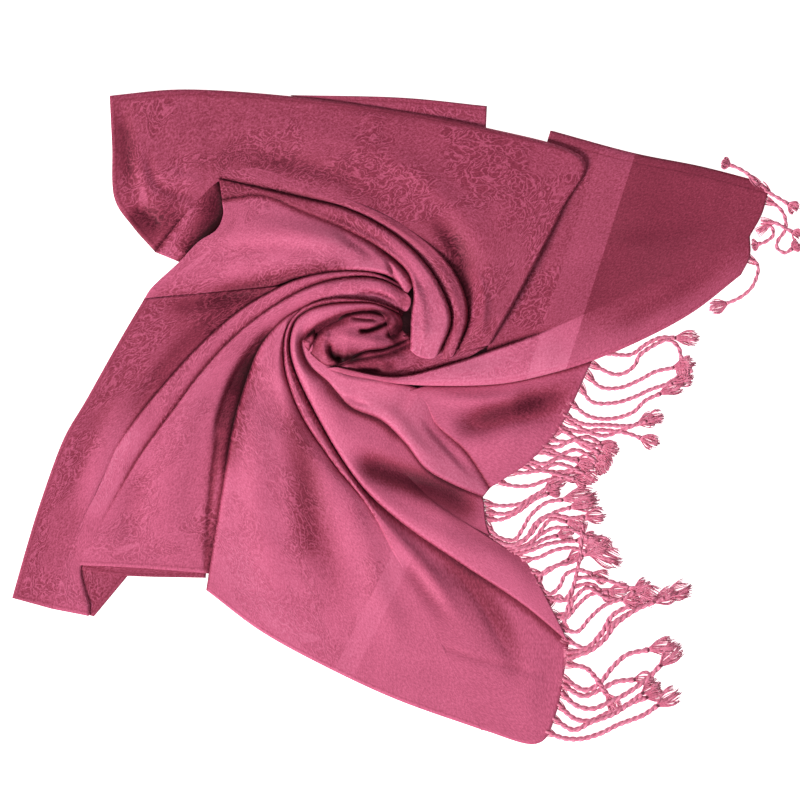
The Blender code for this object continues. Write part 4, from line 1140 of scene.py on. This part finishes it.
FLATTER = 0.9                   # the twist is this much lower than wide
TWIST, TWISTS = 15.0, (0.9, 0.25)  # length of one turn, its least share and what chance adds
KNOT, KNOT_LONG = 1.18, 3.0     # the strand swells before its brush
OPENS_OVER, TIGHTEST = 5.0, 0.35  # its plies part over this far from the hem, from this share
STRAND_STEP, STRAND_LEVEL = 1.1, 2.4
HOP, LOOSE = 1.6, 0.5           # every second strand arches over the others; the rest is chance
STOUT, STOUTER = 1.12, {"front_fringe": 1.35, "far_fringe": 1.0}  # thickness, by backing
PLY_SIDES, YARN_SIDES = 5, 3
HAIRS, HAIR, HAIR_POINTS = 54, 0.792, 7  # loose yarns of a brush, their radius and their points
HAIR_LONG, HAIR_SHORTER = (1.1, 1.45), 0.2  # share of the brush's length, less at its sides
HAIR_DROOP, HAIR_LEVEL = (-1.2, 1.4), 0.6   # how they fall or rise, and the lowest they lie
HAIR_CURVE, HAIR_TAPER = 0.7, 0.35  # how soon they fall or rise, and how much thinner they end
BRUSH_HALF, BRUSH_FLARE, BRUSH_STRAY, BRUSH_WAVER = 5.2, 0.20, 0.16, 0.22  # mm, then radians
BRUSH_NECK, BRUSH_SWELL = 0.25, 2.4  # share of its width at the knot, and how fast it widens
BRUSH_CLOSES, BRUSH_WAVES = 0.5, 5  # the share of its flare that it loses, and how fast it wavers
GATHERED, GATHER_APART, GATHER_STRAY, GATHER_YARN, GATHER_POINTS = 9, 1.05, 0.4, 0.55, 6
GATHER_TO, GATHER_CLOSE = 10, 0.3  # the point of the strand where they end, and how far apart
GATHER_LONG = 8                 # their length as their pattern counts it
HEM_TOP, HEM_DROP, HEM_IN = 3.2, 0.5, 2.5
YARN_ROUND = 0.004              # width of the yarn pattern round a tube, in metres


def along(line, step):
    """Points along a smooth line at even steps, and how far along it they lie."""
    fine = spline(line, np.linspace(0, 1, STRAND_POINTS))
    run = run_of(fine)
    at = np.linspace(0, run[-1], max(3, int(round(run[-1] / step))) + 1)
    return np.stack([np.interp(at, run, fine[:, k]) for k in (0, 1)], axis=1), at


def way_of(path):
    """The way in which a path runs at each of its points."""
    way = np.gradient(path, axis=0)
    return way / np.linalg.norm(way, axis=1)[:, None]


class Tubes:
    """Thin closed tubes gathered into one mesh."""

    def __init__(self):
        self.verts, self.faces, self.uv = [], [], []

    def add(self, plan, level, radii, sides, run):
        path = np.concatenate([plan, level[:, None]], axis=1)
        way = way_of(path)
        side = np.cross(way, (0, 0, 1.0))
        side /= np.linalg.norm(side, axis=1)[:, None]
        up = np.cross(side, way)
        base = len(self.verts)
        for i, p in enumerate(path):
            for k in range(sides):
                a = 2 * math.pi * k / sides
                self.verts.append(p + radii[i] * (math.cos(a) * side[i] + math.sin(a) * up[i]))
                self.uv.append((k / sides * YARN_ROUND, run[i] / MM))
        for i in range(len(path) - 1):
            for k in range(sides):
                m = (k + 1) % sides
                a, b = base + i * sides, base + (i + 1) * sides
                self.faces.append((a + k, a + m, b + m, b + k))
        self.faces.append(tuple(base + k for k in range(sides))[::-1])
        last = base + (len(path) - 1) * sides
        self.faces.append(tuple(last + k for k in range(sides)))


def add_plies(tubes, plan, side, level, run, turn, stout):
    """Two plies that wind round each other and swell at the knot."""
    tight = np.clip(run / OPENS_OVER, TIGHTEST, 1)
    swell = np.where(run > run[-1] - KNOT_LONG, KNOT, 1.0)
    for ply in (0, math.pi):
        c, s = (f(turn + ply) * PLY_APART * stout for f in (np.cos, np.sin))
        tubes.add(plan + side * (c * tight)[:, None], level + s * FLATTER, PLY * stout * swell,
                  PLY_SIDES, run)


def add_brush(tubes, head, way, side, level, length, chance):
    """Loose yarns beyond the knot that flare and waver."""
    t = np.linspace(0, 1, HAIR_POINTS)
    bulge = BRUSH_NECK + (1 - BRUSH_NECK) * np.sin(BRUSH_SWELL * t[:, None])
    for hair in range(HAIRS):
        share = chance.uniform(-1, 1)
        long = length * chance.uniform(*HAIR_LONG) * (1 - HAIR_SHORTER * share**2)
        angle = (math.atan2(way[1], way[0]) + share * BRUSH_FLARE * (1 - BRUSH_CLOSES * t)
                 + chance.uniform(-BRUSH_STRAY, BRUSH_STRAY) * t
                 + BRUSH_WAVER * np.sin(BRUSH_WAVES * (t + share)))
        step = np.stack([np.cos(angle), np.sin(angle)], axis=1) * long / (HAIR_POINTS - 1)
        path = head + side * BRUSH_HALF * share * bulge + np.cumsum(step, axis=0) - step[0]
        z = np.maximum(level + chance.uniform(*HAIR_DROOP) * t**HAIR_CURVE, HAIR_LEVEL)
        tubes.add(path, z, HAIR * (1 - HAIR_TAPER * t), YARN_SIDES, t * long)


def add_gathered_yarns(tubes, plan, way, side, chance):
    """Warp yarns that gather from the hem into the strand."""
    t = np.linspace(0, 1, GATHER_POINTS)
    for yarn in range(-(GATHERED // 2), GATHERED // 2 + 1):
        spread = yarn * GATHER_APART + chance.uniform(-GATHER_STRAY, GATHER_STRAY)
        first = plan[0] - way * HEM_IN + side * spread
        goal = plan[min(GATHER_TO, len(plan) - 1)] + side * GATHER_CLOSE * yarn
        path = first + (goal - first) * t[:, None] + side * (spread * (1 - t) * t)[:, None]
        tubes.add(path, HEM_TOP - HEM_DROP * t, np.full(GATHER_POINTS, GATHER_YARN), YARN_SIDES,
                  t * GATHER_LONG)


def make_fringe(name, strands, chance):
    """The fringe of one backing: twisted strands with their brushes, in place of its solid."""
    tubes = Tubes()
    for number, strand in enumerate(strands):
        plan, run = along(strand.line, STRAND_STEP)
        way = way_of(plan)
        side = np.stack([-way[:, 1], way[:, 0]], axis=1)
        hop = HOP * (number % 2) * np.sin(math.pi * run / run[-1])**2
        level = STRAND_LEVEL + hop + LOOSE * chance.random()
        start = 2 * math.pi * chance.random()
        turn = start + 2 * math.pi * run / (TWIST * (TWISTS[0] + TWISTS[1] * chance.random()))
        add_plies(tubes, plan, side, level, run, turn, STOUTER.get(name, STOUT))
        add_brush(tubes, plan[-1], way[-1], side[-1], level[-1], strand.brush, chance)
        add_gathered_yarns(tubes, plan, way[0], side[0], chance)
    obj = new_object(name + "_yarns", to_metres(np.array(tubes.verts)), tubes.faces,
                     MATERIALS["yarn"])
    weave_map(obj.data, tubes.uv)
    bm = bmesh.new()
    bm.from_mesh(obj.data)
    bmesh.ops.recalc_face_normals(bm, faces=bm.faces[:])
    bm.to_mesh(obj.data)
    bm.free()
    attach(obj, "root")
    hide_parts(name)


LAYERS_LOW, LAYERS_SHARE = 1.2, 0.26  # above this level the hidden layers keep this share of height
LAYER_LINES = 6  # how much closer their pattern lies on the sides, so that it shows as layers


def make_lower_layers():
    """The hidden layers below, as one body that stays under the creases of the sheets, coloured
    near black as painted shade.
    """
    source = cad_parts["hidden_layers"].data
    verts = [tuple(v.co) for v in source.vertices]
    faces = [tuple(p.vertices) for p in source.polygons]
    obj = new_object("lower_layers", verts, faces, MATERIALS["layers"])
    bm = bmesh.new()
    bm.from_mesh(obj.data)
    bmesh.ops.remove_doubles(bm, verts=bm.verts[:], dist=SAME_POINT)
    low = LAYERS_LOW / MM
    for v in bm.verts:
        v.co.z = min(v.co.z, low + LAYERS_SHARE * (v.co.z - low))
    bm.to_mesh(obj.data)
    bm.free()
    weave_map(obj.data, [(v.co.x + v.co.y, v.co.z * LAYER_LINES) for v in obj.data.vertices])
    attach(obj, "root")
    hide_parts("hidden_layers")


VIEW_CENTRE, VIEW_WIDTH, VIEW_HEIGHT = (400, 400), 0.8, 2.0  # plan point seen, and metres
FLOOR_SIZE, FLOOR_DROP, FLOOR_GLOW = 9.0, 0.0002, 1.0
AIR_LIGHT, AIR_COLOUR = 0.26, (1, 0.97, 0.98, 1)
Lamp = namedtuple("Lamp", "name strength spread towards")
LAMPS = [Lamp("key_light", 4.2, 20, (0.66, 0.56, -0.62)),
         Lamp("fill_light", 0.3, 60, (-0.4, -0.6, -1))]


def overhead_camera():
    """The camera that looks straight down, in place of any other."""
    for old in [o for o in bpy.data.objects if o.type in ("CAMERA", "LIGHT")]:
        bpy.data.objects.remove(old, do_unlink=True)
    camera = bpy.data.objects.new("camera", bpy.data.cameras.new("camera"))
    camera.data.type = "ORTHO"
    camera.data.ortho_scale = VIEW_WIDTH
    camera.location = ((VIEW_CENTRE[0] - PLAN_CENTRE[0]) / MM,
                       (PLAN_CENTRE[1] - VIEW_CENTRE[1]) / MM, VIEW_HEIGHT)
    bpy.context.scene.collection.objects.link(camera)
    bpy.context.scene.camera = camera


def white_floor():
    """The pale table that the cloth lies on."""
    bpy.ops.object.select_all(action="DESELECT")
    bpy.ops.mesh.primitive_plane_add(size=FLOOR_SIZE, location=(0, 0, -FLOOR_DROP))
    floor = bpy.context.object
    floor.name = "floor"
    n = Nodes("white_table")
    floor.data.materials.append(n.finish({
        "Base Color": (0.9, 0.9, 0.9, 1), "Roughness": 0.9, "Specular IOR Level": 0.0,
        "Emission Color": (1, 1, 1, 1), "Emission Strength": FLOOR_GLOW}))


def studio_light():
    """Soft light from one side, a weak one from the other, and light from all round."""
    world = bpy.data.worlds.new("studio")
    world.use_nodes = True
    world.node_tree.nodes["Background"].inputs["Color"].default_value = AIR_COLOUR
    world.node_tree.nodes["Background"].inputs["Strength"].default_value = AIR_LIGHT
    bpy.context.scene.world = world
    for lamp in LAMPS:
        light = bpy.data.lights.new(lamp.name, "SUN")
        light.energy, light.angle = lamp.strength, math.radians(lamp.spread)
        obj = bpy.data.objects.new(lamp.name, light)
        obj.rotation_mode = "QUATERNION"
        obj.rotation_quaternion = Vector(lamp.towards).to_track_quat("-Z", "Y")
        bpy.context.scene.collection.objects.link(obj)
    bpy.context.scene.view_settings.view_transform = "Standard"


overhead_camera()
for sheet in SHEETS:
    make_sheet(sheet)
chance = random.Random(7)
for fringe, strands in FRINGES.items():
    make_fringe(fringe, strands, chance)
make_lower_layers()
white_floor()
studio_light()
